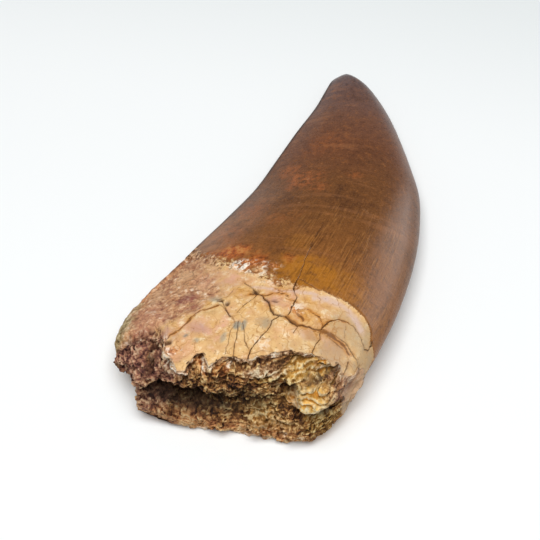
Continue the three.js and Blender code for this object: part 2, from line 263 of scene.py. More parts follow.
# left border of the smooth dentine: length along the tooth, then x, in mm
DENTINE_LEFT = (
    (-44, -12.6), (-38.4, -12.4), (-36.5, -12.7), (-34.5, -12.9), (-33.1, -12.3), (-31.9, -11.3),
    (-31.0, -10.0), (-29.6, -8.6), (-28.0, -7.4), (-26.4, -6.6), (-24.5, -6.8), (-22.0, -8.2), (-18.0, -9.6),
    (-10.0, -12.0),
)

# soft patches on the upper face: x, y, half width, half length, strength
PATCHES = {
    "rust": (
        (-7.4, -15.4, 4.2, 2.2, 1.0), (-2.6, -17.6, 2.4, 1.6, 0.8), (-10.8, -15.4, 2.6, 1.6, 0.5),
        (2.6, -16.6, 1.2, 1.2, 0.5),
    ),
    "chalk": (
        (-4.4, -19.0, 2.8, 1.5, 1.0), (-0.6, -18.7, 2.2, 1.0, 0.8), (-1.8, -20.6, 2.6, 0.9, 0.6),
        (-11.1, -24.8, 1.0, 0.7, 0.7), (-18.9, -36.2, 1.0, 0.7, 0.9), (-16.4, -35.6, 0.9, 0.6, 0.7),
        (-12.6, -36.4, 1.0, 0.9, 0.7), (-10.4, -38.4, 1.6, 0.8, 0.8), (6.4, -26.6, 1.5, 1.2, 0.6),
        (2.9, -34.6, 1.5, 1.4, 0.4), (1.2, -22.6, 2.2, 0.6, 0.45),
    ),
    "mauve": (
        (-7.6, -33.6, 1.8, 1.7, 1.0), (-9.5, -30.0, 1.9, 1.2, 0.7), (-11.6, -27.6, 2.0, 1.3, 1.0),
        (8.8, -30.9, 2.1, 1.2, 0.6), (3.0, -26.4, 1.8, 1.1, 0.6), (13.6, -31.8, 2.8, 2.6, 0.6),
        (-5.4, -23.4, 2.4, 1.4, 0.35), (16.0, -36.4, 2.0, 2.4, 0.8), (-15.8, -35.6, 3.0, 2.0, 0.7),
        (-17.0, -38.4, 6.0, 3.0, 1.0), (-13.6, -36.4, 3.4, 2.4, 1.0),
    ),
    "slate": (
        (-1.7, -32.2, 0.7, 1.0, 1.0), (-0.7, -32.0, 0.5, 1.1, 0.9), (-3.1, -35.0, 0.5, 1.2, 0.6),
        (2.6, -30.8, 0.6, 1.0, 0.6), (-9.0, -35.6, 0.5, 0.5, 0.8), (-6.9, -36.3, 0.6, 0.5, 0.8),
        (-6.9, -27.2, 1.1, 0.8, 0.8),
    ),
    "olive": ((-21.4, -33.0, 2.6, 4.4, 1.0), (-20.2, -28.2, 1.2, 2.6, 0.6)),
    "fawn": (
        (-12.6, -8.6, 3.0, 5.0, 0.9), (-8.6, -4.4, 4.0, 3.0, 0.5), (-11.4, -13.4, 3.0, 2.6, 0.8),
        (-5.4, 0.0, 3.0, 3.0, 0.35), (-14.0, -19.6, 1.8, 1.4, 0.9), (-9.8, -23.6, 2.4, 1.2, 0.8),
        (-12.0, -33.6, 2.4, 1.2, 0.9), (-17.0, -25.0, 1.2, 2.4, 0.6),
    ),
    "drab": (
        (15.0, -26.6, 4.4, 3.0, 0.8), (13.4, -32.0, 3.8, 3.4, 0.7), (18.8, -28.4, 2.6, 6.0, 1.0),
        (8.6, -33.6, 3.0, 1.8, 0.3), (2.4, -30.8, 1.3, 1.6, 0.8),
    ),
    "stain": (
        (3.2, -24.0, 3.0, 1.2, 0.8), (8.8, -27.4, 3.4, 1.4, 1.0), (11.8, -30.4, 4.0, 1.2, 0.7),
        (-2.6, -25.4, 2.2, 1.4, 0.6), (1.8, -27.6, 1.8, 1.0, 0.5), (9.4, -24.4, 2.4, 0.9, 0.5),
    ),
    "pit": (
        (2.8, -26.2, 0.6, 0.3, 0.9), (-4.5, -28.2, 0.5, 0.6, 1.0), (7.6, -35.4, 0.5, 0.6, 1.0),
        (-11.6, -37.0, 0.8, 0.5, 1.0), (-0.7, -25.0, 0.6, 0.45, 1.0), (-5.8, -27.6, 0.7, 0.4, 0.9),
        (-9.0, -35.6, 0.3, 0.2, 0.7),
    ),
    "amber": ((6.2, -19.0, 6.4, 4.0, 1.0), (12.0, -19.2, 5.0, 3.4, 0.6), (3.4, -12.8, 2.4, 2.6, 0.3)),
    "russet": (
        (-0.4, 6.0, 3.6, 3.2, 1.0), (-3.6, 9.4, 2.4, 2.4, 0.8), (2.8, 3.4, 2.2, 1.8, 0.7),
        (8.0, 8.0, 1.4, 1.4, 0.7), (-9.8, -9.0, 3.4, 4.0, 0.45), (1.2, 18.0, 4.0, 4.0, 0.35),
        (-2.4, -6.0, 4.0, 2.4, 0.3), (-7.4, -2.4, 3.2, 3.6, 0.5),
    ),
    "umber": (
        (8.6, 0.6, 4.4, 3.4, 1.0), (-3.0, -1.0, 4.6, 3.4, 0.6), (9.0, 15.0, 4.4, 5.0, 0.5),
        (2.2, -20.4, 3.0, 1.6, 0.8), (3.2, 36.0, 4.0, 5.0, 0.5), (0.4, -13.6, 2.4, 3.2, 0.5),
        (17.0, -18.6, 3.0, 4.4, 0.7),
    ),
    "pink": (
        (-9.0, -38.2, 3.4, 2.4, 1.0), (3.6, -26.2, 2.4, 1.6, 0.8), (-9.4, -21.6, 3.0, 2.6, 0.7),
        (-3.4, -22.6, 3.2, 1.6, 0.6), (6.2, -31.4, 2.2, 1.6, 0.5), (-16.0, -31.8, 3.4, 3.4, 0.55),
    ),
}

# the same patches lie on the underside, moved by this much and fainter
UNDERSIDE_SHIFT = (2.4, -1.8)
UNDERSIDE_STRENGTH = 0.7

# tints of the broken face, and the painted shade of its hollows: x, z, half width, half height, strength
BREAK_TINTS = {
    "gold": (
        (11.8, 9.0, 3.3, 3.3, 1.0), (9.6, 12.9, 3.0, 0.8, 0.5), (6.8, 10.2, 2.0, 0.9, 0.5),
        (12.8, 13.0, 1.6, 0.5, 0.9), (5.4, 4.0, 4.6, 2.0, 0.25),
    ),
    "mauve": (
        (15.9, 9.0, 1.7, 3.2, 0.55), (-18.0, 8.4, 6.0, 5.6, 1.0), (-11.6, 10.4, 4.0, 2.6, 0.9),
        (-13.0, 4.6, 3.4, 3.0, 0.8), (-8.6, 12.9, 2.4, 1.4, 0.8),
    ),
    "drab": ((17.4, 6.2, 2.0, 4.6, 1.0),),
    "olive": (
        (6.4, 12.4, 4.6, 1.7, 1.0), (2.0, 7.2, 7.0, 3.0, 0.6), (14.0, 4.0, 3.4, 2.0, 1.0),
        (9.6, 10.9, 3.0, 0.8, 0.6), (13.2, 12.6, 3.2, 0.6, 0.8),
    ),
    "lip": ((-8.0, 1.4, 9.0, 2.6, 1.0), (2.0, 1.2, 7.0, 2.2, 0.9), (9.0, 1.6, 5.0, 2.0, 0.7)),
    "rust": (
        (-5.6, 13.4, 1.8, 0.9, 1.0), (-2.0, 13.4, 1.6, 0.7, 0.6), (7.4, 10.6, 1.4, 0.9, 0.6),
        (5.6, 2.6, 1.2, 0.7, 0.7), (9.4, 8.0, 1.2, 2.0, 0.5),
    ),
    "chalk": (
        (-4.9, 13.6, 1.0, 0.7, 1.0), (-9.4, 13.4, 2.8, 1.2, 1.0), (-1.0, 13.8, 0.5, 0.4, 0.8),
        (4.4, 13.1, 2.8, 0.8, 0.45), (12.6, 12.7, 1.4, 0.25, 0.6), (15.2, 12.2, 0.8, 0.3, 0.7),
        (9.6, 2.2, 1.8, 0.5, 0.6), (-14.6, 1.2, 1.0, 0.6, 0.5), (-8.0, 0.2, 9.0, 0.5, 0.9),
        (4.0, 0.2, 7.0, 0.5, 0.7),
    ),
    # painted shade: the dark of the hollows under the roof, left of the knob and under it
    "hollow": (
        (-8.4, 5.0, 8.0, 4.2, 1.0), (8.0, 9.8, 1.5, 1.2, 0.8), (12.6, 6.2, 3.8, 0.8, 0.9),
        (0.4, 7.4, 6.0, 3.6, 0.45), (-8.6, 11.6, 3.6, 1.2, 0.4),
    ),
    "pit": (
        (-3.0, 13.0, 1.5, 0.3, 1.0), (-2.2, 12.2, 1.3, 0.25, 0.9), (-13.4, 10.6, 1.4, 0.8, 0.9),
        (6.0, 11.0, 0.9, 0.5, 0.8), (13.4, 12.1, 2.6, 0.2, 0.9),
    ),
}
# the painted shade of the hollows grows in from this length inwards, in mm
HOLLOW_SHADE_DEPTH = (-42.6, -40.6)
# dip of the layers in the broken face: x across, then how far they are raised there, in mm
STRATA_DIP = ((-22, -3.4), (-12, -1.4), (-2, -0.2), (6, -0.4), (12, -2.0), (18, -5.4))
STRATA_THICKNESS = 1.15
LEAF_THICKNESS = 0.529
LAYER_STAIN = 0.52
# the knob: x, z, half width, half height; its rings: x, z of their middle, height by width, thickness
KNOB = (12.6, 9.9, 4.2, 3.3)
KNOB_RINGS = (13.2, 14.1)
KNOB_RING_SHAPE = 0.55
KNOB_LAYER = 1.0
# where the face splits in thin leaves: x, z, half width, half height
LEAFY = ((6.5, 12.4, 6.5, 2.2), (-1.0, 13.4, 3.0, 1.1), (14.6, 3.4, 3.8, 2.6), (-8.0, 2.0, 7.0, 1.6))
# smooth side of the root beside the knob: x, z, half width, half height
SMOOTH_SIDE = (18.0, 6.2, 1.8, 4.8)

# ---- relief: height and size in mm, octaves where it is lumpy noise and not flat chips, and seed ----
# (the sizes of chips, grit and pores are shares of the grain size, and their heights of the grain height)

RELIEF = {
    "enamel end": (0.5, 1.9, 3, 2),
    "enamel end, fine": (0.16, 0.5, 2, 3),
    "dentine end": (1.5, 2.6, 4, 5),
    "root wear": (0.10, 3.0, 3, 1),
    "root pits": (0.5, 4.5, 3, 4),
    "rough root": (0.22, 2.4, 5, 6),
    "rough root, fine": (0.10, 0.7, 3, 14),
    "rough root chips": (0.10, 1.1, 5),
    "dentine": (0.06, 2.4, 4, 7),
    "enamel": (0.04, 5.0, 2, 8),
    "patch ends": (0.3, 1.2, 2, 9),
    "flakes": (0.30, 0.9, 2),
    "flakes, fine": (0.16, 0.5, 3, 15),
    "rim sway": (0.6, 2.4, 3, 7),
    "upper rim": (0.40, 1.1, 3, 8),
    "face blocks": (0.55, 1.7, 8),
    "knob end": (0.2, 1.6, 2, 16),
    "side end": (0.25, 1.6, 2, 19),
    "strata flow": (1.0, 3.2, 3, 11),
    "strata patches": (0.9, 3.0, 2, 17),
    "knob folds": (0.9, 3.0, 3, 12),
    "chips": (0.56, 1.4, 1),
    "chips, fine": (0.42, 0.6, 2),
    "grit": (0.34, 1.0, 4, 33),
    "grit, fine": (0.20, 0.3, 2, 34),
    "pores": (1.0, 0.6, 2, 41),
    "crack opening": (0.5, 1.6, 2, 18),
    "tint ends": (0.45, 2.0, 3, 21),
    "tint ends, fine": (0.2, 0.6, 2, 22),
}
# the enamel's grain is drawn out along the tooth by this scale of its places
ENAMEL_GRAIN = (1.0, 0.35, 1.0)
# the enamel's end is worn left of this strip and clean right of it, x in mm; then how ragged and how
# soft it is where it is worn and where it is clean
CLEAN_END_X = (3.0, 7.0)
END_RAGGEDNESS = (2.4, 0.35)
END_SOFTNESS = (1.9, 0.16)
# how far either side of its line the upper face's rough root fades, in mm
ROUGH_ROOT_BORDER = (-1.0, 1.8)
# the rough root of the underside grows from the first share to the second over this strip, and the pits
# of the root grow in over these, in mm from the middle towards the distal side and towards the break
UNDERSIDE_ROUGHNESS = (0.5, 1.0)
UNDERSIDE_ROUGH = (6.0, 11.0)
PITTED_SIDE = (-4.0, 10.0)
PITTED_LENGTH = (22.0, 33.0)
ROUGH_ROOT_SINK = 0.20
PIT_DEPTH = 0.4
# heights between which the rim's teeth, the face's blocks and the lobe's wear grow in, z in mm
UPPER_RIM_Z = (7.0, 10.0)
BLOCKS_Z = (1.5, 4.0)
LOBE_Z = (4.0, 8.0)
# the flow of the layers is drawn out across the face by this scale of its places
FLOW_STRETCH = (0.4, 1.0, 1.0)
# share of a layer's thickness in which its foot rises
LAYER_FOOT = 0.16
# taken off the profile of each layer, so that the face stays about in place
LAYER_MEAN = 0.4
# how calm the knob, the smooth side and the leafy parts are, as shares, and the heights between which the
# grain grows from half to full, z in mm
CALM = {"knob": 0.75, "side": 0.75, "leafy": 0.65}
GRAIN_Z = (0.2, 1.4)
# the left lobe of the rim ends in this strip, x in mm, is moved so far by wear, and is crumbly so far
# above the rim
LOBE_END_X = (-14.6, -11.8)
LOBE_SHIFT = (0.3, 0.9, -1.3)
LOBE_WEAR = 3.2
# crumpling of the face: size in mm, seed, amount in mm, and the depth from the rim where it grows in
CRUMPLES = ((1.5, 3, 0.30, -0.9, 0.25), (0.6, 4, 0.10, -0.5, 0.1))
WANDER_SEED = 2
# layers of the face: height where it is blocky and where it is leafy, in mm
SHELF_HEIGHT = (0.62, 0.32)
LEAF_HEIGHT = (0.26, 0.62)
KNOB_FOLD_HEIGHT = 0.9
# points that stand out this far from their neighbours are evened out, in mm
THORN = (0.16, 0.40)
# fine and coarse relief as the material reads it: rounds of smoothing, and the height that reads as
# strong, in mm
FINE_RELIEF = (6, 0.16)
COARSE_RELIEF = (60, 0.45)
# the pale shell of the rim grows in between these heights, z in mm; the painted shade along the distal edge
# fades over this width and grows in over these lengths, in mm
SHELL_Z = (8.0, 10.0)
EDGE_SHADE_WIDTH = (0.1, 0.8)
EDGE_SHADE_Y = (-16.0, -8.0)
# the frame in which the growth lines lie wraps round the tooth at this radius, in mm
GROWTH_RADIUS = 12.0
# loose crumbs: smallest and largest stretch of their three half widths, and seed
CRUMB_STRETCH = ((0.5, 0.4, 0.35), (1.3, 1.0, 0.7))
CRUMB_SEED = 7

# ---- helpers on arrays ----------------------------------------------------------------


def smoothstep(values, low, high):
    """0 below low, 1 above high, smooth between them."""
    share = np.clip((values - low) / (high - low), 0.0, 1.0)
    return share * share * (3.0 - 2.0 * share)


def mix(a, b, share):
    """a at share 0, b at share 1."""
    return a + (b - a) * share


def curve_through(knots):
    """A smooth curve through (place, value) knots, as a function of an array of places."""
    places, values = np.array(knots, float).T
    low = np.clip(np.arange(len(places)) - 1, 0, None)
    high = np.clip(np.arange(len(places)) + 1, None, len(places) - 1)
    slopes = (values[high] - values[low]) / (places[high] - places[low])

    def curve(where):
        i = np.clip(np.searchsorted(places, where, side="right") - 1, 0, len(places) - 2)
        span = places[i + 1] - places[i]
        u = np.clip((where - places[i]) / span, 0.0, 1.0)
        start = (2 * u**3 - 3 * u**2 + 1) * values[i] + (u**3 - 2 * u**2 + u) * span * slopes[i]
        return start + (3 * u**2 - 2 * u**3) * values[i + 1] + (u**3 - u**2) * span * slopes[i + 1]

    return curve


def rough(points, size, octaves=3, seed=0):
    """Lumpy noise of one size in mm with finer sizes on it, from about -1 to 1."""
    shifted = (points / size + 13.7 * seed).tolist()
    return np.array([noise.fractal(p, 1.0, 2.0, octaves) for p in shifted])


def wander(points, size, seed=0):
    """A smooth random direction at each point, each part from about -1 to 1."""
    noise.seed_set(WANDER_SEED)
    shifted = (points / size + 13.7 * seed).tolist()
    return np.array([noise.noise_vector(p) for p in shifted])


def chips(points, size, seed=0):
    """Flat chips of one size in mm, each raised and tilted its own way, from about -1 to 1."""
    shifted = points / size + 13.7 * seed
    middles = np.array([tuple(noise.voronoi(p)[1][0]) for p in shifted.tolist()])
    scatter = np.array([[12.9, 78.2, 37.7], [39.3, 11.1, 83.2], [73.1, 52.2, 9.2]])
    tilt = np.sin(middles @ scatter)
    return np.einsum("ij,ij->i", shifted - middles, tilt) + 0.4 * tilt[:, 0]


def away_from_line(points, line):
    """Distance in plan from each point to a line through several points."""
    best = np.full(len(points), 1e9)
    for start, end in zip(line[:-1], line[1:]):
        start, end = np.array(start), np.array(end)
        run = end - start
        share = np.clip(((points - start) @ run) / (run @ run), 0.0, 1.0)
        best = np.minimum(best, np.linalg.norm(points - start - share[:, None] * run, axis=1))
    return best


def soft_patches(u, v, patches, ragged):
    """The strongest of several soft oval patches at each place, with ragged borders."""
    total = np.zeros(len(u))
    for x, y, half_width, half_length, strength in patches:
        reach = np.hypot((u - x) / half_width, (v - y) / half_length) + ragged
        total = np.maximum(total, strength * (1.0 - smoothstep(reach, 0.45, 1.25)))
    return total


distal_edge = curve_through(DISTAL_EDGE)
mesial_edge = curve_through(MESIAL_EDGE)
upper_bulge = curve_through(UPPER_BULGE)
enamel_end = curve_through(ENAMEL_END)
underside_enamel_end = curve_through(UNDERSIDE_ENAMEL_END)
lower_rim = curve_through(LOWER_RIM)
upper_rim = curve_through(UPPER_RIM)
core_rim = curve_through(CORE_RIM)
dentine_left = curve_through(DENTINE_LEFT)
strata_dip = curve_through(STRATA_DIP)

# ---- the tooth's surface --------------------------------------------------------------


def skin(y, angle):
    """Points of the smooth skin at length y and column angle: 0 distal edge, pi mesial edge."""
    s = -np.cos(angle)
    is_upper = angle <= math.pi
    tip = np.clip((y - (TIP_Y - TIP_RADIUS)) / TIP_RADIUS, 0.0, 1.0)
    rounding = np.sqrt(1.0 - tip * tip)
    middle = (distal_edge(y) + mesial_edge(y)) / 2
    half_width = (mesial_edge(y) - distal_edge(y)) / 2 * rounding
    centre = EDGE_HEIGHT_AT_ORIGIN + EDGE_SLOPE * y
    floor_lift = -WORN_FLAT_DEPTH + TIP_LIFT * np.maximum(y / TIP_Y, 0.0) ** 2
    crown = smoothstep(y, *ROOT_BLEND)
    root_power = np.where(is_upper, ROOT_EDGE_POWER, ROOT_UNDERSIDE_POWER)
    distal = mix(root_power, DISTAL_EDGE_POWER, crown)
    mesial = mix(root_power, MESIAL_EDGE_POWER, crown)
    w = (s - THICKEST_AT) / (1 - THICKEST_AT * s)
    fullness = np.maximum(1 - w * w, 0.0) ** mix(distal, mesial, (s + 1) / 2)
    bulge = np.where(is_upper, upper_bulge(y), floor_lift - centre)
    return np.stack([middle + half_width * s, y, centre + bulge * rounding * fullness], axis=-1)


def break_length(x, z):
    """Where the broken face lies along the tooth, at x across and z up."""
    across = np.clip((x - BREAK_MIDDLE_X) / BREAK_HALF_WIDTH, -1.0, 1.0)
    roof = skin(np.full_like(x, BREAK_Y), np.arccos(-across))[..., 2]
    rise = np.clip(z / roof, 0.0, 1.0)
    core = mix(lower_rim(x), core_rim(x), smoothstep(rise, 0.0, 1.0))
    foot = roof - SHELL_THICKNESS
    y = mix(core, upper_rim(x), smoothstep(z, foot - SHELL_STEP, foot + SHELL_STEP))
    groups = ((HOLLOWS, 1.0, OVAL_SLOPE), ((CAVITY,), 1.0, CAVITY_SLOPE), (LUMPS, -1.0, OVAL_SLOPE))
    for ovals, sign, slope in groups:
        for centre_x, centre_z, half_width, half_height, size in ovals:
            reach = np.hypot((x - centre_x) / half_width, (z - centre_z) / half_height)
            y = y + sign * size * (1.0 - smoothstep(reach, *slope))
    return y


def column_angles():
    """Angles of the columns, evenly spaced over each face of the root, closer on the upper one."""
    angles = []
    for start, count in ((0.0, UPPER_COLUMNS), (math.pi, UNDER_COLUMNS)):
        fine = np.linspace(start + 1e-6, start + math.pi - 1e-6, 2001)
        points = skin(np.full_like(fine, COLUMNS_EVEN_Y), fine)
        steps = np.linalg.norm(np.diff(points, axis=0), axis=1)
        length = np.concatenate([[0.0], np.cumsum(steps)])
        wanted = np.arange(count) / count * length[-1]
        angles.append(np.interp(wanted, length, fine))
    return np.concatenate(angles)


def rim_lengths(angles):
    """Where each column of the skin meets the broken face."""
    steps = np.linspace(RIM_SEARCH_Y, ROOT_END_Y, RIM_SEARCH_STEPS)
    y, angle = np.meshgrid(steps, angles, indexing="ij")
    points = skin(y, angle)
    inside = y - break_length(points[..., 0], points[..., 2])
    first = np.argmax(inside < 0.0, axis=0)
    columns = np.arange(len(angles))
    above, below = inside[first - 1, columns], inside[first, columns]
    return mix(steps[first - 1], steps[first], above / (above - below))


def split_edges(points, faces, fields, wanted):
    """Halve each edge that wanted(points of its ends) picks, and refill the faces beside it."""
    pairs = np.sort(faces[:, [[0, 1], [1, 2], [2, 0]]].reshape(-1, 2), axis=1)
    keys, inverse = np.unique(pairs[:, 0] * len(points) + pairs[:, 1], return_inverse=True)
    first, second = keys // len(points), keys % len(points)
    marked = wanted(first, second)
    index = np.full(len(keys), -1)
    index[marked] = len(points) + np.arange(marked.sum())
    halves = (points[first[marked]] + points[second[marked]]) / 2
    more = {name: (field[first[marked]] + field[second[marked]]) / 2 for name, field in fields.items()}
    middles = index[inverse].reshape(-1, 3)
    for _ in range(2):
        count = (middles >= 0).sum(axis=1)
        single = (count == 1) & (middles[:, 0] < 0)
        double = (count == 2) & (middles[:, 2] >= 0)
        turning = single | double
        faces = np.where(turning[:, None], np.roll(faces, -1, axis=1), faces)
        middles = np.where(turning[:, None], np.roll(middles, -1, axis=1), middles)
    count = (middles >= 0).sum(axis=1)
    a, b, c = faces.T
    ab, bc, ca = middles.T
    parts = [faces[count == 0]]
    for number, pattern in (
        (1, ((a, ab, c), (ab, b, c))),
        (2, ((ab, b, bc), (a, ab, bc), (a, bc, c))),
        (3, ((a, ab, ca), (ab, b, bc), (bc, c, ca), (ab, bc, ca))),
    ):
        chosen = count == number
        parts += [np.stack(corners, axis=1)[chosen] for corners in pattern]
    fields = {name: np.concatenate([field, more[name]]) for name, field in fields.items()}
    return np.concatenate([points, halves]), np.concatenate(parts), fields


def vertex_normals(points, faces):
    """Outward directions at the points, weighted by the area of the faces round them."""
    a, b, c = (points[faces[:, k]] for k in range(3))
    across = np.cross(b - a, c - a)
    total = np.stack(
        [sum(np.bincount(faces[:, k], across[:, axis], len(points)) for k in range(3)) for axis in range(3)],
        axis=1,
    )
    return total / np.maximum(np.linalg.norm(total, axis=1), 1e-12)[:, None]


def smoothed(points, faces, rounds):
    """The points moved to the middle of their neighbours, several times over."""
    ends = np.concatenate([faces[:, [0, 1]], faces[:, [1, 2]], faces[:, [2, 0]]])
    count = np.bincount(ends[:, 0], minlength=len(points)) + np.bincount(ends[:, 1], minlength=len(points))
    for _ in range(rounds):
        total = np.stack(
            [
                np.bincount(ends[:, 0], points[ends[:, 1], k], len(points))
                + np.bincount(ends[:, 1], points[ends[:, 0], k], len(points))
                for k in range(points.shape[1])
            ],
            axis=1,
        )
        points = 0.5 * points + 0.5 * total / count[:, None]
    return points


def ring_faces(lower, upper):
    """Faces between two rings of point numbers; the upper ring may have half as many points."""
    n = len(lower)
    following = np.roll(lower, -1)
    if len(upper) == n:
        after = np.roll(upper, -1)
        return np.concatenate([
            np.stack([lower, following, after], axis=1),
            np.stack([lower, after, upper], axis=1),
        ])
    left, right, middle = lower[0::2], np.roll(lower, -2)[0::2], lower[1::2]
    after = np.roll(upper, -1)
    return np.concatenate([
        np.stack([left, middle, upper], axis=1),
        np.stack([middle, after, upper], axis=1),
        np.stack([middle, right, after], axis=1),
    ])


def away_from_rim(points, rim_points):
    """Distance from each point to the rim of the broken face."""
    dense = [mix(rim_points, np.roll(rim_points, -1, axis=0), share) for share in (0.0, 0.25, 0.5, 0.75)]
    dense = np.concatenate(dense)
    tree = kdtree.KDTree(len(dense))
    for number, point in enumerate(dense.tolist()):
        tree.insert(point, number)
    tree.balance()
    away = np.full(len(points), FAR_FROM_RIM)
    for number in np.flatnonzero(points[:, 1] < RIM_REACH_Y):
        away[number] = tree.find(points[number])[2]
    away[:len(rim_points)] = 0.0
    return away


def skin_mesh():
    """The skin from the break to the tip: points, faces, column angles, and the rim's point numbers."""
    angles = column_angles()
    rim = rim_lengths(angles)
    rows, row_angles = [], []
    for t in np.linspace(0.0, 1.0, ROOT_RINGS):
        rows.append(mix(rim, ROOT_TOP_Y, t))
        row_angles.append(angles)
    crown = np.arange(ROOT_TOP_Y + CROWN_STEP, TIP_ZONE_Y, CROWN_STEP)
    upper = np.arange(TIP_ZONE_Y, TIP_Y - TIP_RADIUS, TIP_STEP)
    turn = np.arange(TIP_RINGS) / TIP_RINGS * (math.pi / 2)
    tip = TIP_Y - TIP_RADIUS + TIP_RADIUS * np.sin(turn)
    for y in np.concatenate([crown, upper, tip]):
        chosen = angles[0::2]
        rows.append(np.full(len(chosen), y))
        row_angles.append(chosen)
    points = np.concatenate([skin(y, angle) for y, angle in zip(rows, row_angles)])
    starts = np.concatenate([[0], np.cumsum([len(row) for row in rows])])
    rings = [np.arange(start, end) for start, end in zip(starts[:-1], starts[1:])]
    faces = [ring_faces(lower, higher) for lower, higher in zip(rings[:-1], rings[1:])]
    pole = len(points)
    last = rings[-1]
    faces.append(np.stack([last, np.roll(last, -1), np.full(len(last), pole)], axis=1))
    tip_point = [(distal_edge(np.array(TIP_Y)) + mesial_edge(np.array(TIP_Y))) / 2, TIP_Y,
                 EDGE_HEIGHT_AT_ORIGIN + EDGE_SLOPE * TIP_Y]
    points = np.concatenate([points, [tip_point]])
    angle = np.concatenate(row_angles + [[math.pi / 2]])
    return points, np.concatenate(faces), angle, -away_from_rim(points, points[rings[0]]), rings[0]


def break_mesh(rim_points):
    """The broken face inside the rim: new points, faces that number the rim first, and depth from the rim."""
    loop = rim_points[:, [0, 2]]
    rng = np.random.default_rng(BREAK_SEED)
    x, z = np.meshgrid(np.arange(*BREAK_BOX_X, BREAK_STEP), np.arange(*BREAK_BOX_Z, BREAK_STEP * BREAK_ROW))
    x = x + (np.arange(len(x)) % 2)[:, None] * BREAK_STEP / 2
    inner = np.stack([x.ravel(), z.ravel()], axis=1)
    inner += rng.uniform(-BREAK_STRAY, BREAK_STRAY, inner.shape) * BREAK_STEP
    closed = np.concatenate([loop, loop[:1]])
    inside = np.zeros(len(inner), bool)
    for (x0, z0), (x1, z1) in zip(closed[:-1], closed[1:]):
        if z0 != z1:
            crosses = (z0 > inner[:, 1]) != (z1 > inner[:, 1])
            inside ^= crosses & (inner[:, 0] < x0 + (inner[:, 1] - z0) * (x1 - x0) / (z1 - z0))
    inner = inner[inside]
    depth = away_from_line(inner, closed)
    keep = depth > BREAK_STEP * BREAK_GAP
    inner, depth = inner[keep], depth[keep]
    flat = [Vector(p) for p in np.concatenate([loop, inner])]
    n = len(loop)
    edges = [(i, (i + 1) % n) for i in range(n)]
    made, _, faces, origin, _, _ = geometry.delaunay_2d_cdt(flat, edges, [], 1, 1e-6)
    source = np.array([ids[0] if ids else -1 for ids in origin])
    if len(made) != len(flat) or (source < 0).any():
        raise RuntimeError("The rim of the broken face crosses itself")
    faces = source[np.array(faces)]
    y = break_length(inner[:, 0], inner[:, 1])
    return np.stack([inner[:, 0], y, inner[:, 1]], axis=1), faces, depth


def whole_surface():
    """The closed surface of the tooth before its relief: points, faces and fields on the points."""
    points, faces, angle, depth, rim = skin_mesh()
    inner, inner_faces, inner_depth = break_mesh(points[rim])
    numbers = np.concatenate([rim, len(points) + np.arange(len(inner))])
    patch = numbers[inner_faces]
    a, b, c = (np.concatenate([points, inner])[patch[:, k]] for k in range(3))
    backwards = np.cross(b - a, c - a)[:, 1] > 0
    patch[backwards] = patch[backwards][:, ::-1]
    fields = {
        "turn_cos": np.concatenate([np.cos(angle), np.zeros(len(inner))]),
        "turn_sin": np.concatenate([np.sin(angle), np.zeros(len(inner))]),
        "broken": np.concatenate([depth, inner_depth]),
    }
    return np.concatenate([points, inner]), np.concatenate([faces, patch]), fields


# ---- relief -----------------------------------------------------------------------------


def relief(points, name, scale=1.0):
    """One kind of relief, in mm, by its name in RELIEF."""
    height, size, *octaves, seed = RELIEF[name]
    pattern = rough if octaves else chips
    return height * pattern(points, size * scale, *octaves, seed)


def line_reach(plan, chosen, line, reach=2.0):
    """How far each chosen point is from one line, in mm; 99 where it isn't near."""
    away = np.full(len(plan), 99.0)
    box = np.array(line)
    near = chosen & np.all((plan > box.min(axis=0) - reach) & (plan < box.max(axis=0) + reach), axis=1)
    away[near] = away_from_line(plan[near], line)
    return away


def add_crack_detail(points, faces, fields):
    """Finer faces along the cracks."""
    for band in CRACK_BAND:
        root = (fields["broken"] < 0.2) & (points[:, 1] < CRACKS_END_Y)
        sides = ((fields["turn_sin"] > 0.02, CRACKS), (fields["turn_sin"] < -0.02, UNDERSIDE_CRACKS))
        reach = np.min([line_reach(points[:, :2], side & root, entry[-1])
                        for side, cracks in sides for entry in cracks.values()], axis=0)
        close = reach < band
        points, faces, fields = split_edges(points, faces, fields, lambda i, j: close[i] & close[j])
    return points, faces, fields


def add_break_detail(points, faces, fields):
    """Finer faces where the broken face runs steeply along the tooth."""
    for _ in range(2):
        broken = fields["broken"] > 0.0

        def long_edge(i, j):
            length = np.linalg.norm(points[i] - points[j], axis=1)
            return (length > BREAK_LONGEST_EDGE) & (broken[i] | broken[j])

        points, faces, fields = split_edges(points, faces, fields, long_edge)
    return points, faces, fields


def zones(points, fields):
    """Upper face, how far past the enamel in mm, how soft that border is, and share of rough left root."""
    x, y, _ = points.T
    upper = fields["turn_sin"] > 0.0
    ragged = relief(points, "enamel end") + relief(points, "enamel end, fine")
    end = np.where(upper, enamel_end(x), underside_enamel_end(x))
    clean = smoothstep(x, *CLEAN_END_X) * upper
    past_enamel = end - y + ragged * mix(*END_RAGGEDNESS, clean)
    left = dentine_left(y) - x + relief(points, "dentine end")
    below = mix(*UNDERSIDE_ROUGHNESS, smoothstep(-x, *UNDERSIDE_ROUGH))
    left = np.where(upper, smoothstep(left, *ROUGH_ROOT_BORDER), below)
    return upper, past_enamel, mix(*END_SOFTNESS, clean), left


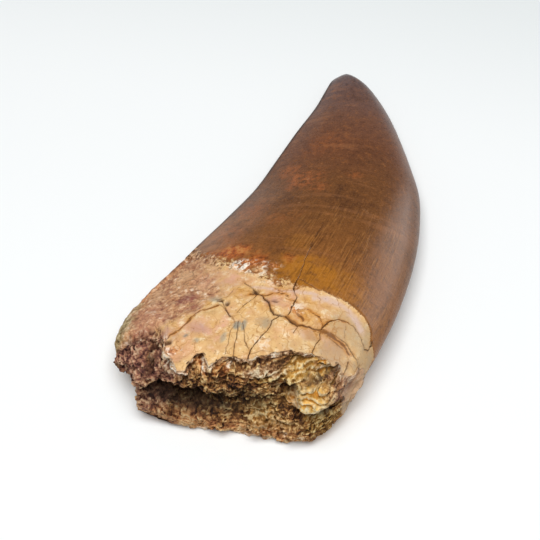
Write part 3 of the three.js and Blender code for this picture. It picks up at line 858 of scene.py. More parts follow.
def wear_skin(points, faces, fields, look):
    """Sinks the skin where the enamel ends, where the root is rough or pitted, and where it flaked."""
    upper, past_enamel, border, left = zones(points, fields)
    x, y, _ = points.T
    root = smoothstep(past_enamel, -border, border + 0.15)
    pitted = smoothstep(-y, *PITTED_LENGTH) * smoothstep(-x, *PITTED_SIDE) * upper
    sink = root * (look.ledge_depth / MM + relief(points, "root wear"))
    sink += pitted * relief(points, "root pits")
    grain = relief(points, "rough root") + relief(points, "rough root, fine")
    sink += root * left * (ROUGH_ROOT_SINK + grain + relief(points, "rough root chips"))
    sink += root * (1.0 - left) * relief(points, "dentine")
    sink += (1.0 - root) * relief(points * np.array(ENAMEL_GRAIN), "enamel")
    ragged = relief(points, "patch ends")
    chalk = soft_patches(x, y, PATCHES["chalk"], ragged) * upper
    sink -= chalk * (relief(points, "flakes") + relief(points, "flakes, fine"))
    pits = soft_patches(x, y, PATCHES["pit"], ragged * 0.6) * upper
    sink += pits * PIT_DEPTH
    sink *= 1.0 - smoothstep(fields["broken"], -0.1, 0.1)
    fields = dict(fields, past_enamel=past_enamel / border, left=left, pits=pits)
    return points - vertex_normals(points, faces) * sink[:, None], fields


def layered(share):
    """Profile across one layer: a quick rise at its foot, then a slope back to nothing."""
    share = share - np.floor(share)
    return smoothstep(share, 0.0, LAYER_FOOT) - np.clip((share - LAYER_FOOT) / (1.0 - LAYER_FOOT), 0.0, 1.0)


def oval(points, place, ragged=0.0):
    """1 inside an oval of the broken face, 0 outside, soft between; place is its middle and half sizes."""
    reach = np.hypot((points[:, 0] - place[0]) / place[2], (points[:, 2] - place[1]) / place[3])
    return 1.0 - smoothstep(reach + ragged, 0.75, 1.15)


def break_rim(points, broken, lobe):
    """Moves the rim and the face behind it: the rim's sway and teeth, blocks, the worn lobe and crumbs."""
    flat = points * np.array([1.0, 0.0, 1.0])
    points[:, 1] += smoothstep(broken, -2.5, 0.0) * relief(flat, "rim sway")
    rim = smoothstep(broken, -1.4, 0.0) * (1.0 - smoothstep(broken, 0.0, 0.8))
    points[:, 1] += rim * smoothstep(points[:, 2], *UPPER_RIM_Z) * relief(flat, "upper rim")
    inner = smoothstep(broken, 0.4, 1.2) * smoothstep(points[:, 2], *BLOCKS_Z)
    points[:, 1] += inner * relief(flat, "face blocks")
    worn = lobe * smoothstep(broken, -4.0, 0.0) * (1.0 - smoothstep(broken, 0.0, 2.6))
    points = points + np.array(LOBE_SHIFT) * (worn * smoothstep(points[:, 2], *LOBE_Z))[:, None]
    for size, seed, amount, start, end in CRUMPLES:
        points = points + wander(points, size, seed) * (amount * smoothstep(broken, start, end))[:, None]
    return points


def crumble_face(points, faces, fields, look):
    """Breaks up the rim and the broken face: crumbs, layers, the knob's rings, chips and grain."""
    broken = fields["broken"]
    lobe = (1.0 - smoothstep(points[:, 0], *LOBE_END_X)) * (fields["turn_sin"] >= 0.0)
    points = break_rim(points, broken, lobe)
    face = smoothstep(broken, -0.05, 0.35)
    knob = oval(points, KNOB, relief(points, "knob end")) * face
    side = oval(points, SMOOTH_SIDE, relief(points, "side end")) * face * (1.0 - knob)

    normals = vertex_normals(points, faces)
    along = points[:, 2] + strata_dip(points[:, 0])
    flow = relief(points * np.array(FLOW_STRETCH), "strata flow")
    patchy = np.clip(0.5 + relief(points, "strata patches"), 0.0, 1.0)
    leafy = np.max([oval(points, place, 0.4 * patchy - 0.2) for place in LEAFY], axis=0)
    shelves = layered(along / STRATA_THICKNESS + 1.1 * flow) * (0.25 + 0.75 * patchy)
    leaves = layered(along / LEAF_THICKNESS + 2.0 * flow) * (1.0 - 0.7 * patchy)
    strata = mix(*SHELF_HEIGHT, leafy) * (shelves - LAYER_MEAN)
    strata += mix(*LEAF_HEIGHT, leafy) * (leaves - LAYER_MEAN)
    strata *= face * (1.0 - knob) * (1.0 - 0.8 * side)
    points = points + normals * strata[:, None]
    ring_x, ring_z = KNOB_RINGS
    onion = np.hypot(KNOB_RING_SHAPE * (points[:, 0] - ring_x), points[:, 2] - ring_z) / KNOB_LAYER
    onion = onion + relief(points, "knob folds")
    points = points + normals * (knob * KNOB_FOLD_HEIGHT * (layered(-onion) - LAYER_MEAN))[:, None]

    reach_up = LOBE_WEAR * lobe
    share = smoothstep(broken, -reach_up, 0.7 - 0.8 * reach_up)
    near = share > 0.0
    size, height = look.grain_size / MM, look.grain_height / MM
    grit = sum(relief(points[near], name, size) for name in ("chips", "chips, fine", "grit", "grit, fine"))
    grit -= 0.8 * smoothstep(relief(points[near], "pores", size), 0.12, 0.5)
    calm = 1.0
    for name, inside in (("knob", knob), ("side", side), ("leafy", leafy)):
        calm = calm * (1.0 - CALM[name] * inside)
    calm = calm * mix(0.5, 1.0, smoothstep(points[:, 2], *GRAIN_Z))
    lift = np.zeros(len(points))
    lift[near] = height * grit
    points = points + vertex_normals(points, faces) * (lift * share * calm)[:, None]
    even = smoothed(points, faces, 2)
    thorn = smoothstep(np.linalg.norm(points - even, axis=1), *THORN)
    points = mix(points, even, (0.9 * thorn * near)[:, None])
    layer = np.where(knob > 0.5, onion * KNOB_LAYER, along + flow * STRATA_THICKNESS) / LAYER_STAIN
    return points, dict(fields, knob=knob, side=side, lobe=lobe, layer=layer)


def cut_cracks(points, faces, fields, look):
    """Cuts the cracks as fine grooves, and notes how dark each one is."""
    jitter = sum(wander(points, size, seed) * amount for size, seed, amount in CRACK_WANDER)
    plan = (points + jitter)[:, :2]
    open_share = 0.85 + relief(points, "crack opening")
    upper = (fields["turn_sin"] > 0.0) & (fields["broken"] < 0.3)
    lower = (fields["turn_sin"] < 0.0) & (fields["broken"] < 0.3)
    crack, groove, halo = np.zeros((3, len(points)))
    for side, cracks in ((upper, CRACKS), (lower, UNDERSIDE_CRACKS)):
        for width, depth, darkness, line in cracks.values():
            away = line_reach(plan, side, line)
            profile = 1.0 - smoothstep(away, width * GROOVE[0], width * GROOVE[1] * open_share)
            crack = np.maximum(crack, profile * darkness)
            groove = np.maximum(groove, profile * depth)
            halo = np.maximum(halo, (1.0 - smoothstep(away, 0.0, CRACK_HALO + width)) * width / WIDEST_CRACK)
    painted = {"crack": crack, "crack_halo": halo}
    plan = (points + 2.5 * jitter)[:, :2]
    for name, lines in SEAMS.items():
        shares = [1.0 - smoothstep(line_reach(plan, upper, line), 0.0, half) for half, line in lines]
        painted[name] = np.max(shares, axis=0)
    sunk = vertex_normals(points, faces) * (groove * look.crack_depth)[:, None]
    return points - sunk, dict(fields, **painted)


def paint_fields(points, faces, fields):
    """Shares of each finish, and of painted shade, at each point, for the material to read."""
    x, y, z = points.T
    broken, lobe, side = (fields[name] for name in ("broken", "lobe", "side"))
    face = smoothstep(broken, -0.15, 0.15)
    normals = vertex_normals(points, faces)
    fine, coarse = (
        np.tanh(-np.einsum("ij,ij->i", smoothed(points, faces, rounds) - points, normals) / height)
        for rounds, height in (FINE_RELIEF, COARSE_RELIEF))
    ragged = relief(points, "tint ends") + relief(points, "tint ends, fine")
    worn = lobe * smoothstep(broken + 1.8 * ragged, 0.4 - LOBE_WEAR, -0.2) * (fields["turn_sin"] > 0.0)
    shell = face * (1.0 - smoothstep(broken - 0.8 * ragged, 0.25, 1.1)) * (1.0 - lobe)
    calm = (1.0 - 0.8 * fields["knob"]) * (1.0 - side)
    kept = ("crack", "crack_halo", "seam", "lilac", "past_enamel", "layer", "side")
    out = {name: fields[name] for name in kept}
    out["rough_root"] = fields["left"]
    out["broken"] = np.maximum(face * (1.0 - 0.85 * side), worn)
    out["relief"], out["height"] = fine, coarse
    out["shell"] = shell * smoothstep(z, *SHELL_Z) * np.clip(0.6 + 1.2 * ragged, 0.0, 1.0)
    # painted shade along the distal edge, which turns away from the light
    from_edge = x - distal_edge(y) + 0.3 * ragged
    out["distal_edge_shade"] = (1.0 - smoothstep(from_edge, *EDGE_SHADE_WIDTH)) * smoothstep(y, *EDGE_SHADE_Y)
    out["crumbly"] = smoothstep(broken, 0.2, 0.8) * calm * np.clip(0.5 + 1.4 * ragged, 0.1, 1.0)
    shift_x, shift_y = UNDERSIDE_SHIFT
    above = smoothstep(fields["turn_sin"], -0.15, 0.15)
    for name in PATCHES:
        below = UNDERSIDE_STRENGTH * soft_patches(x - shift_x, y - shift_y, PATCHES[name], ragged)
        on_skin = mix(below, soft_patches(x, y, PATCHES[name], ragged), above)
        out[name] = mix(on_skin, soft_patches(x, z, BREAK_TINTS.get(name, ()), ragged), face)
    out["pit"] = np.maximum(fields["pits"], out["pit"] * face)
    for name in ("gold", "lip", "hollow"):
        out[name] = soft_patches(x, z, BREAK_TINTS[name], ragged) * face
    # the painted shade is strongest deep in the hollows
    out["hollow"] *= mix(0.3, 1.0, smoothstep(y, *HOLLOW_SHADE_DEPTH))
    return out


def tooth_mesh(look):
    """The finished mesh of the tooth, with the fields that its material reads."""
    points, faces, fields = whole_surface()
    points, faces, fields = add_break_detail(points, faces, fields)
    points, faces, fields = add_crack_detail(points, faces, fields)
    points, fields = wear_skin(points, faces, fields, look)
    points, fields = crumble_face(points, faces, fields, look)
    points, fields = cut_cracks(points, faces, fields, look)
    mesh = bpy.data.meshes.new(PIECE_NAME)
    mesh.from_pydata((points * MM).tolist(), [], faces.tolist())
    mesh.shade_smooth()
    for name, values in paint_fields(points, faces, fields).items():
        mesh.attributes.new(name, "FLOAT", "POINT").data.foreach_set("value", values.astype(np.float32))
    turn = GROWTH_RADIUS * np.stack([fields["turn_cos"], fields["turn_sin"]], axis=1)
    growth = (np.column_stack([turn, points[:, 1]]) * MM).astype(np.float32)
    mesh.attributes.new("growth", "FLOAT_VECTOR", "POINT").data.foreach_set("vector", growth.ravel())
    mesh.validate()
    mesh.update()
    return mesh


def hold_in_box(mesh):
    """Moves points that lie past the part's box back to its sides."""
    places = np.empty(3 * len(mesh.vertices), np.float32)
    mesh.vertices.foreach_get("co", places)
    low, high = np.array(CAD_BOX) + BOX_MARGIN * np.array([[1.0], [-1.0]])
    held = np.clip(places.reshape(-1, 3), low, high)
    mesh.vertices.foreach_set("co", held.astype(np.float32).ravel())
    mesh.update()


# ---- crumbs, scattered by nodes ------------------------------------------------------------


def make_crumb_tree():
    """A node tree that scatters faceted crumbs where the mesh is crumbly, and joins them to it."""
    tree = bpy.data.node_groups.new("crumbs", "GeometryNodeTree")
    inputs = {"Geometry": "Geometry", "Density": "Float", "Crumb size": "Float", "Seed": "Int"}
    inputs["Material"] = "Material"
    for name, kind in inputs.items():
        tree.interface.new_socket(name, in_out="INPUT", socket_type="NodeSocket" + kind)
    tree.interface.new_socket("Geometry", in_out="OUTPUT", socket_type="NodeSocketGeometry")

    def add(kind, inputs=(), **settings):
        node = tree.nodes.new(kind)
        for name, value in settings.items():
            setattr(node, name, value)
        for name, value in dict(inputs).items():
            if isinstance(value, bpy.types.NodeSocket):
                tree.links.new(value, node.inputs[name])
            else:
                node.inputs[name].default_value = value
        return node

    def scattered(low, high):
        limits = {"Min": low, "Max": high, "Seed": given["Seed"]}
        return add("FunctionNodeRandomValue", limits, data_type="FLOAT_VECTOR").outputs["Value"]

    given = add("NodeGroupInput").outputs
    share = add("GeometryNodeInputNamedAttribute", {"Name": "crumbly"}, data_type="FLOAT")
    density = add("ShaderNodeMath", {0: given["Density"], 1: share.outputs[0]}, operation="MULTIPLY")
    spots = add("GeometryNodeDistributePointsOnFaces", {
        "Mesh": given["Geometry"], "Density": density.outputs[0], "Seed": given["Seed"]})
    turn = scattered((0.0, 0.0, 0.0), (6.28, 6.28, 6.28))
    size = add("ShaderNodeVectorMath", {
        0: scattered(*CRUMB_STRETCH), "Scale": given["Crumb size"]}, operation="SCALE").outputs["Vector"]
    crumb = add("GeometryNodeMeshIcoSphere", {"Radius": 1.0, "Subdivisions": 1}).outputs["Mesh"]
    strewn = add("GeometryNodeInstanceOnPoints", {
        "Points": spots.outputs["Points"], "Instance": crumb, "Rotation": turn, "Scale": size})
    both = add("GeometryNodeJoinGeometry")
    tree.links.new(strewn.outputs["Instances"], both.inputs["Geometry"])
    tree.links.new(given["Geometry"], both.inputs["Geometry"])
    real = add("GeometryNodeRealizeInstances", {"Geometry": both.outputs["Geometry"]})
    dressed = add("GeometryNodeSetMaterial", {
        "Geometry": real.outputs["Geometry"], "Material": given["Material"]})
    add("NodeGroupOutput", {"Geometry": dressed.outputs["Geometry"]})
    return tree


def strew_crumbs(tooth, look, material):
    """Adds the crumbs to the tooth's own mesh."""
    modifier = tooth.modifiers.new("crumbs", "NODES")
    modifier.node_group = make_crumb_tree()
    values = {"Density": look.crumbs / MM**2, "Crumb size": look.crumb_size}
    values.update({"Seed": CRUMB_SEED, "Material": material})
    for item in modifier.node_group.interface.items_tree:
        if item.in_out == "INPUT" and item.name in values:
            modifier[item.identifier] = values[item.name]
    graph = bpy.context.evaluated_depsgraph_get()
    mesh = bpy.data.meshes.new_from_object(
        tooth.evaluated_get(graph), preserve_all_data_layers=True, depsgraph=graph)
    tooth.modifiers.remove(modifier)
    plain, tooth.data = tooth.data, mesh
    bpy.data.meshes.remove(plain)
    mesh.name = PIECE_NAME
    mesh.materials.clear()
    mesh.materials.append(material)
    mesh.polygons.foreach_set("material_index", np.zeros(len(mesh.polygons), dtype=np.int32))


# ---- material ---------------------------------------------------------------------------


def tint(code):
    """A colour written as six hexadecimal digits, as the linear colour that a socket takes."""
    parts = [int(code[i:i + 2], 16) / 255 for i in (0, 2, 4)]
    linear = [p / 12.92 if p <= 0.04045 else ((p + 0.055) / 1.055) ** 2.4 for p in parts]
    return (*linear, 1.0)


class NodeSheet:
    """Short ways to add and join the nodes of one material."""

    def __init__(self, material):
        self.nodes = material.node_tree.nodes
        self.links = material.node_tree.links

    def add(self, kind, inputs=(), **settings):
        """A node with its settings, and its inputs set or linked by name or number."""
        node = self.nodes.new(kind)
        for name, value in settings.items():
            setattr(node, name, value)
        for name, value in dict(inputs).items():
            self.join(node.inputs[name], value)
        return node

    def join(self, socket, value):
        """Links an output to the socket, or sets the socket to a plain value or a colour's digits."""
        if isinstance(value, bpy.types.NodeSocket):
            self.links.new(value, socket)
        else:
            socket.default_value = tint(value) if isinstance(value, str) else value

    def field(self, name, kind="Fac"):
        """One of the mesh's fields."""
        return self.add("ShaderNodeAttribute", attribute_name=name).outputs[kind]

    def part(self, vector, axis):
        """One part of a vector."""
        return self.add("ShaderNodeSeparateXYZ", {"Vector": vector}).outputs[axis]

    def vectors(self, operation, inputs):
        """Arithmetic on vectors."""
        return self.add("ShaderNodeVectorMath", inputs, operation=operation).outputs["Vector"]

    def stretched(self, vector, scale):
        """The vector with each part scaled."""
        return self.add("ShaderNodeMapping", {"Vector": vector, "Scale": scale}).outputs["Vector"]

    def noise(self, vector, per_mm, detail=4.0, roughness=0.55, distortion=0.0, output="Fac"):
        """Soft noise, about 0 to 1, with so many lumps to a millimetre."""
        return self.add("ShaderNodeTexNoise", {
            "Vector": vector, "Scale": per_mm / MM, "Detail": detail, "Roughness": roughness,
            "Distortion": distortion}).outputs[output]

    def cells(self, vector, per_mm, feature="F1"):
        """Cell pattern with so many cells to a millimetre."""
        return self.add("ShaderNodeTexVoronoi", {"Vector": vector, "Scale": per_mm / MM}, feature=feature)

    def random_cells(self, vector, per_mm):
        """A random value from 0 to 1 in each cell."""
        colour = self.cells(vector, per_mm).outputs["Color"]
        return self.add("ShaderNodeSeparateColor", {"Color": colour}).outputs[0]

    def crazing(self, vector, per_mm):
        """Fine wandering lines between cells, 1 on a line."""
        bend = self.noise(vector, 1.2 * per_mm, 3.0, 0.5, 0.0, "Color")
        bend = self.vectors("SUBTRACT", {0: bend, 1: (0.5, 0.5, 0.5)})
        bend = self.vectors("SCALE", {0: bend, "Scale": 1.1 * MM / per_mm})
        place = self.vectors("ADD", {0: vector, 1: bend})
        return self.span(self.cells(place, per_mm, "DISTANCE_TO_EDGE").outputs["Distance"], 0.05, 0.0)

    def span(self, value, low, high, start=0.0, end=1.0, kind="SMOOTHSTEP"):
        """value mapped from low..high to start..end, held outside."""
        sockets = {"Value": value, "From Min": low, "From Max": high, "To Min": start, "To Max": end}
        return self.add("ShaderNodeMapRange", sockets, interpolation_type=kind).outputs["Result"]

    def math(self, operation, a, b=0.0, clamp=False):
        """Arithmetic on two values."""
        return self.add("ShaderNodeMath", {0: a, 1: b}, operation=operation, use_clamp=clamp).outputs[0]

    def times(self, a, b):
        """The product of two values, held in 0..1."""
        return self.math("MULTIPLY", a, b, clamp=True)

    def shared(self, *parts):
        """Sum of (value, weight) pairs."""
        total = self.math("MULTIPLY", *parts[0])
        for value, weight in parts[1:]:
            total = self.math("ADD", total, self.math("MULTIPLY", value, weight))
        return total

    def ramp(self, share, *stops):
        """Colours at places from 0 to 1."""
        node = self.add("ShaderNodeValToRGB", {"Fac": share})
        band = node.color_ramp
        while len(band.elements) < len(stops):
            band.elements.new(0.5)
        for element, (place, colour) in zip(band.elements, stops):
            element.position = place
            element.color = tint(colour) if isinstance(colour, str) else colour
        return node.outputs["Color"]

    def blend(self, share, a, b, mode="MIX"):
        """Colour a at share 0 and b at share 1."""
        node = self.add("ShaderNodeMix", data_type="RGBA", blend_type=mode)
        for number, value in ((0, share), (6, a), (7, b)):
            self.join(node.inputs[number], value)
        return node.outputs[2]

    def layers(self, under, *rows):
        """Colours laid over one another, each by its mask, the colour, and a share or a pattern's span."""
        for mask, colour, share, *limits in rows:
            if limits:
                share = self.span(share, *limits)
            if mask is not None:
                share = self.times(self.field(mask) if isinstance(mask, str) else mask, share)
            under = self.blend(share, under, colour)
        return under


def enamel_colour(sheet, look, place, growth):
    """Enamel: amber at the root, mahogany, then purplish brown at the tip, with streaks, mottles and painted
    edge shade.
    """
    along = sheet.part(place, "Y")
    fine = sheet.noise(place, 0.8, 8.0, 0.72)
    grain = sheet.noise(place, 3.0, 3.0, 0.7)
    arcs = sheet.noise(sheet.stretched(growth, (0.12, 0.12, 1.0)), 0.55, 2.0, 0.5, 0.6)
    drift = sheet.shared((sheet.noise(place, 0.11, 3.0), 0.014), (along, 1.0))
    body = sheet.ramp(
        sheet.span(drift, -0.019, 0.051, kind="LINEAR"),
        (0.0, "96602a"), (0.12, "8a5628"), (0.28, "744822"), (0.45, look.enamel_tint),
        (0.62, "6e4229"), (0.76, "704a38"), (0.88, "6c534e"), (1.0, look.tip_tint))
    rust = sheet.ramp(fine, (0.36, "86380f"), (0.5, "b05a22"), (0.62, "d4904c"))
    body = sheet.layers(
        body,
        ("fawn", "a87245", fine, 0.3, 0.65, 0.2125, 0.85),
        ("russet", "a05a2e", fine, 0.36, 0.62),
        ("umber", "4c2c18", fine, 0.66, 0.34, 0.21, 0.63),
        ("amber", look.amber_tint, fine, 0.3, 0.7, 0.35),
        ("rust", rust, fine, 0.3, 0.5, 0.6),
        (None, "a06432", fine, 0.51, 0.72, 0.0, 0.5),
        (None, "3c2014", fine, 0.49, 0.28, 0.0, 0.6),
        (None, "bd8250", grain, 0.52, 0.70, 0.0, 0.22),
        (None, "2e180e", grain, 0.48, 0.32, 0.0, 0.25),
        # painted shade along the distal edge
        ("distal_edge_shade", "2c1810", 0.75),
        (None, "b87c52", arcs, 0.56, 0.70, 0.0, 0.16),
    )
    streaks = sheet.noise(sheet.stretched(growth, (1.0, 1.0, 0.05)), 6.5, 3.0, 0.6, 0.3)
    patchy = sheet.span(sheet.noise(sheet.stretched(growth, (1.0, 1.0, 0.4)), 0.35, 2.0), 0.38, 0.58)
    low_crown = sheet.span(along, 0.004, -0.006, 0.0, 0.85)
    right_side = sheet.span(sheet.part(place, "X"), -0.002, 0.006, 0.2, 1.0)
    streaky = sheet.math("ADD", sheet.times(sheet.times(low_crown, patchy), right_side), 0.12)
    lines = sheet.noise(sheet.stretched(place, (0.5, 1.6, 1.0)), 0.16, 2.0, 0.4, 0.8)
    scratch = sheet.span(sheet.math("ABSOLUTE", sheet.math("SUBTRACT", lines, 0.5)), 0.0016, 0.0, 0.0, 0.7)
    body = sheet.layers(
        body,
        (streaky, "3c2410", streaks, 0.50, 0.68, 0.0, 0.5),
        (streaky, "bb8448", streaks, 0.48, 0.36, 0.0, 0.3),
        (scratch, "c89468", sheet.noise(place, 0.3, 3.0, 0.7), 0.56, 0.66),
    )
    return body, sheet.math("MULTIPLY", streaks, streaky)


def dentine_colour(sheet, look, place):
    """Smooth dentine: cream and tan with pink, mauve and blue-grey patches, orange stains, and lilac partly
    painted sheen.
    """
    broad = sheet.noise(place, 0.17, 4.0, 0.62)
    golden = sheet.noise(place, 0.34, 5.0, 0.66)
    fine = sheet.noise(place, 0.9, 8.0, 0.72)
    cream = sheet.ramp(
        broad,
        (0.30, "e0ac8c"), (0.41, "dcae78"), (0.50, look.dentine_tint), (0.58, "ebca98"), (0.70, "dba864"))
    stain = sheet.ramp(fine, (0.36, "e8a840"), (0.6, "b4701c"))
    return sheet.layers(
        cream,
        ("pink", "e2a684", 0.6),
        (None, "d8a458", golden, 0.50, 0.64, 0.0, 0.4),
        (None, "bf884e", fine, 0.53, 0.68, 0.0, 0.55),
        (None, "f6dfb8", fine, 0.49, 0.32, 0.0, 0.8),
        ("stain", stain, golden, 0.36, 0.60, 0.0, 0.85),
        ("mauve", "b98c80", fine, 0.3, 0.6, 0.9, 0.5),
        ("slate", "8b948c", 0.85),
        ("drab", "b2946e", fine, 0.35, 0.6, 0.85, 0.6),
        # the lilac band by the enamel: partly its own colour, partly painted sheen
        ("lilac", "dabcae", fine, 0.3, 0.7, 1.0, 0.5),
        (sheet.crazing(place, 0.45), "ae7436", golden, 0.42, 0.58, 0.15, 0.7),
        (None, "7c5030", sheet.noise(place, 2.4, 2.0, 0.6), 0.64, 0.72, 0.0, 0.55),
    ), fine


def rough_root_colour(sheet, look, place):
    """Rough root: pinkish tan grain with wine-red and ochre blotches."""
    broad = sheet.noise(place, 0.25, 4.0, 0.62)
    fine = sheet.noise(place, 1.1, 8.0, 0.8)
    # the fine relief lightens ridges and darkens dips a little: painted highlight and shade
    tone = sheet.shared(
        (sheet.span(fine, 0.3, 0.7), 0.62), (sheet.random_cells(place, 1.1), 0.16),
        (sheet.random_cells(place, 2.6), 0.12), (sheet.span(sheet.field("relief"), -1.0, 1.0), 0.10))
    body = sheet.ramp(
        tone, (0.16, "6a402c"), (0.32, "a86e52"), (0.50, look.root_tint), (0.66, "e8ba8e"), (0.84, "fde8d0"))
    ochre = sheet.ramp(tone, (0.2, "4e4026"), (0.50, "a58a5c"), (0.7, "d6c096"), (0.86, "f2e6c6"))
    return sheet.layers(
        body,
        (None, "dba878", broad, 0.46, 0.62, 0.0, 0.45),
        (None, "9a6a50", broad, 0.50, 0.34, 0.0, 0.5),
        ("fawn", "eabc90", fine, 0.3, 0.6, 0.3, 0.8),
        ("pink", "d89a80", 0.45),
        ("mauve", "94504a", fine, 0.62, 0.4, 0.3, 0.9),
        ("olive", ochre, 1.0),
        (sheet.crazing(place, 0.6), "6a3e26", broad, 0.48, 0.62, 0.0, 0.6),
    ), tone


def broken_colour(sheet, look, place):
    """Broken end: grains and layers, dark matrix to pale crystal, tinted across the face, with painted shade
    and highlight.
    """
    fine = sheet.noise(place, 2.6, 6.0, 0.85)
    broad = sheet.noise(place, 0.5, 4.0, 0.7)
    raised = sheet.span(sheet.field("relief"), -1.0, 1.0)
    proud = sheet.span(sheet.field("height"), -0.9, 0.9)
    leaf = sheet.math("ADD", sheet.field("layer"), sheet.span(fine, 0.2, 0.8, -0.35, 0.35))
    leaf = sheet.math("PINGPONG", leaf, 0.5)
    # the fine relief lightens ridges and darkens dips in the tone: dirt in the dips, and painted highlight
    # and shade
    tone = sheet.shared(
        (sheet.random_cells(place, 1.5), 0.1955), (sheet.random_cells(place, 3.4), 0.138),
        (sheet.span(fine, 0.32, 0.68), 0.276), (raised, 0.299), (leaf, 0.391),
        (sheet.span(broad, 0.34, 0.66), 0.391), (1.0, -0.215))
    # the knob's folds are lighter on their ridges: partly painted highlight
    glow = sheet.shared((raised, 0.50), (sheet.span(fine, 0.3, 0.7), 0.26), (leaf, 0.36), (broad, 0.10))
    body = sheet.ramp(
        tone, (0.20, "341f17"), (0.36, "5f3b24"), (0.52, look.break_tint), (0.66, "bc864a"), (0.84, "eecb90"))
    purple = sheet.ramp(
        tone, (0.18, "3d2424"), (0.34, "744842"), (0.50, "a26c58"), (0.64, "c68e6e"), (0.84, "ecc4a0"))
    olive = sheet.ramp(
        tone, (0.18, "30200c"), (0.34, "604018"), (0.50, "8a602c"), (0.66, "b88c46"), (0.84, "f0d696"))
    lip = sheet.ramp(
        tone, (0.18, "683820"), (0.34, "a2623a"), (0.50, "ca8c58"), (0.66, "e4aa6e"), (0.84, "f8d6a2"))
    gold = sheet.ramp(
        glow, (0.06, "985220"), (0.17, "e69636"), (0.30, look.knob_tint), (0.50, "fdca72"), (0.84, "feeec4"))
    rust = sheet.ramp(tone, (0.2, "7a3414"), (0.5, "cc7632"), (0.8, "f8c080"))
    pale = sheet.ramp(tone, (0.2, "8c5634"), (0.40, "d49c6c"), (0.56, "f2cca2"), (0.76, "fff4e2"))
    edge = sheet.times(sheet.field("shell"), sheet.span(broad, 0.34, 0.56, 0.3, 0.9))
    body = sheet.layers(
        body, ("mauve", purple, 1.0), ("olive", olive, 0.85), ("lip", lip, 1.0), ("gold", gold, 1.0),
        ("rust", rust, 0.8), (None, pale, sheet.math("MAXIMUM", edge, sheet.field("chalk"))))
    # painted shade: points sunk in the coarse relief are darkened
    body = sheet.blend(sheet.span(proud, 0.40, 0.05, 0.0, 0.45), body, "6a5040", "MULTIPLY")
    # the pale smooth side, then painted shade laid over the hollows
    body = sheet.layers(body, ("side", "e8d6c6", fine, 0.2, 0.8, 0.95, 0.75), ("hollow", "47372d", 0.80))
    return body, tone


def make_tooth_material(look):
    """The fossil's one material: enamel, dentine, rough root and broken face, laid by the mesh's fields."""
    material = bpy.data.materials.new("fossil_tooth")
    material.use_nodes = True
    sheet = NodeSheet(material)
    sheet.nodes.clear()
    place = sheet.add("ShaderNodeTexCoord").outputs["Object"]
    enamel, streaks = enamel_colour(sheet, look, place, sheet.field("growth", "Vector"))
    dentine, dentine_fine = dentine_colour(sheet, look, place)
    rough_root, root_fine = rough_root_colour(sheet, look, place)
    broken, speck = broken_colour(sheet, look, place)
    grit = sheet.noise(place, 2.6, 5.0, 0.7)

    border = sheet.math("ADD", sheet.field("past_enamel"), sheet.span(root_fine, 0.3, 0.7, -0.7, 0.7))
    root_share = sheet.span(border, -0.35, 0.35)
    rough_share = sheet.times(sheet.field("rough_root"), root_share)
    chalk = sheet.times(sheet.field("chalk"), sheet.span(root_fine, 0.36, 0.5, 0.2, 1.0))
    flaked = sheet.ramp(
        sheet.shared((sheet.random_cells(place, 1.5), 0.5), (grit, 0.5)),
        (0.28, "8c5030"), (0.38, "d8884e"), (0.47, "f6cca6"), (0.60, "fff3e2"))
    root = sheet.layers(
        dentine,
        ("rough_root", rough_root, 1.0),
        ("seam", "c07a2a", dentine_fine, 0.3, 0.6, 0.35),
        (None, "5c3416", sheet.field("seam"), 0.72, 0.92, 0.0, 0.75),
        ("crack_halo", "b27a3a", dentine_fine, 0.35, 0.65, 0.1, 0.7),
    )
    colour = sheet.layers(enamel, (None, root, root_share), (None, flaked, chalk))
    rough_part = sheet.math("MAXIMUM", sheet.field("chalk"), rough_share)
    # painted shade: the dips of the rough root and the flakes are darkened
    dip_shade = sheet.times(sheet.span(sheet.field("relief"), -0.15, -0.8, 0.0, 0.6), rough_part)
    colour = sheet.blend(dip_shade, colour, "5a3a28", "MULTIPLY")
    colour = sheet.layers(
        colour, ("broken", broken, 1.0), ("pit", "4a2a16", 0.9), ("crack", look.crack_tint, 0.95))

    gloss = sheet.span(root_share, 0.0, 1.0, look.enamel_roughness, 0.5)
    for share, roughness in ((rough_share, 0.62), (sheet.field("broken"), 0.58), (chalk, 0.7)):
        gloss = sheet.math("MAXIMUM", gloss, sheet.times(share, roughness))
    gloss = sheet.math("ADD", gloss, sheet.span(grit, 0.3, 0.7, -0.05, 0.07))

    height = sheet.shared(
        (streaks, -0.12), (sheet.math("MULTIPLY", root_share, grit), 0.16),
        (sheet.math("MULTIPLY", sheet.field("broken"), speck), 0.9),
        (sheet.math("MULTIPLY", rough_share, root_fine), 0.7))
    bump = sheet.add("ShaderNodeBump", {"Height": height, "Strength": 0.8, "Distance": 0.0003})
    surface = sheet.add("ShaderNodeBsdfPrincipled", {
        "Base Color": colour, "Roughness": gloss, "Normal": bump.outputs["Normal"], "IOR": 1.5,
        "Specular IOR Level": 0.19})
    sheet.add("ShaderNodeOutputMaterial", {"Surface": surface.outputs["BSDF"]})
    return material


# ---- stage ------------------------------------------------------------------------------

# the camera: target and distance in mm, turn and lift in degrees, sensor and lens in mm, and the nearest
# distance that it sees in metres
CAMERA_TARGET = (-1.8, -12.2, 5.0)
CAMERA_DISTANCE = 200.0
CAMERA_AZIMUTH = 15.0
CAMERA_ELEVATION = 50.0
CAMERA_SENSOR = 36.0
CAMERA_LENS = 78.0
CAMERA_NEAREST = 0.01
# lamps: place, what they face, and size, in metres
PANEL = ((0.02, -0.14, 0.54), (0.0, -0.01, 0.0), 0.42)
FLANK = ((0.42, 0.38, 0.12), (0.0, 0.0, 0.0), 0.40)
SKY_TINT = (0.94, 0.98, 1.0, 1.0)
# the floor: half its width, and where it is painted darker along the tooth as painted shade, in metres
FLOOR_HALF_WIDTH = 1.5
FLOOR_SHADE_FADE = (0.025, 0.1)
# the floor's tint near the tooth, then its painted shade further back
FLOOR_TINTS = ("f6f8f8", "e9eded")
FLOOR_ROUGHNESS = 0.9


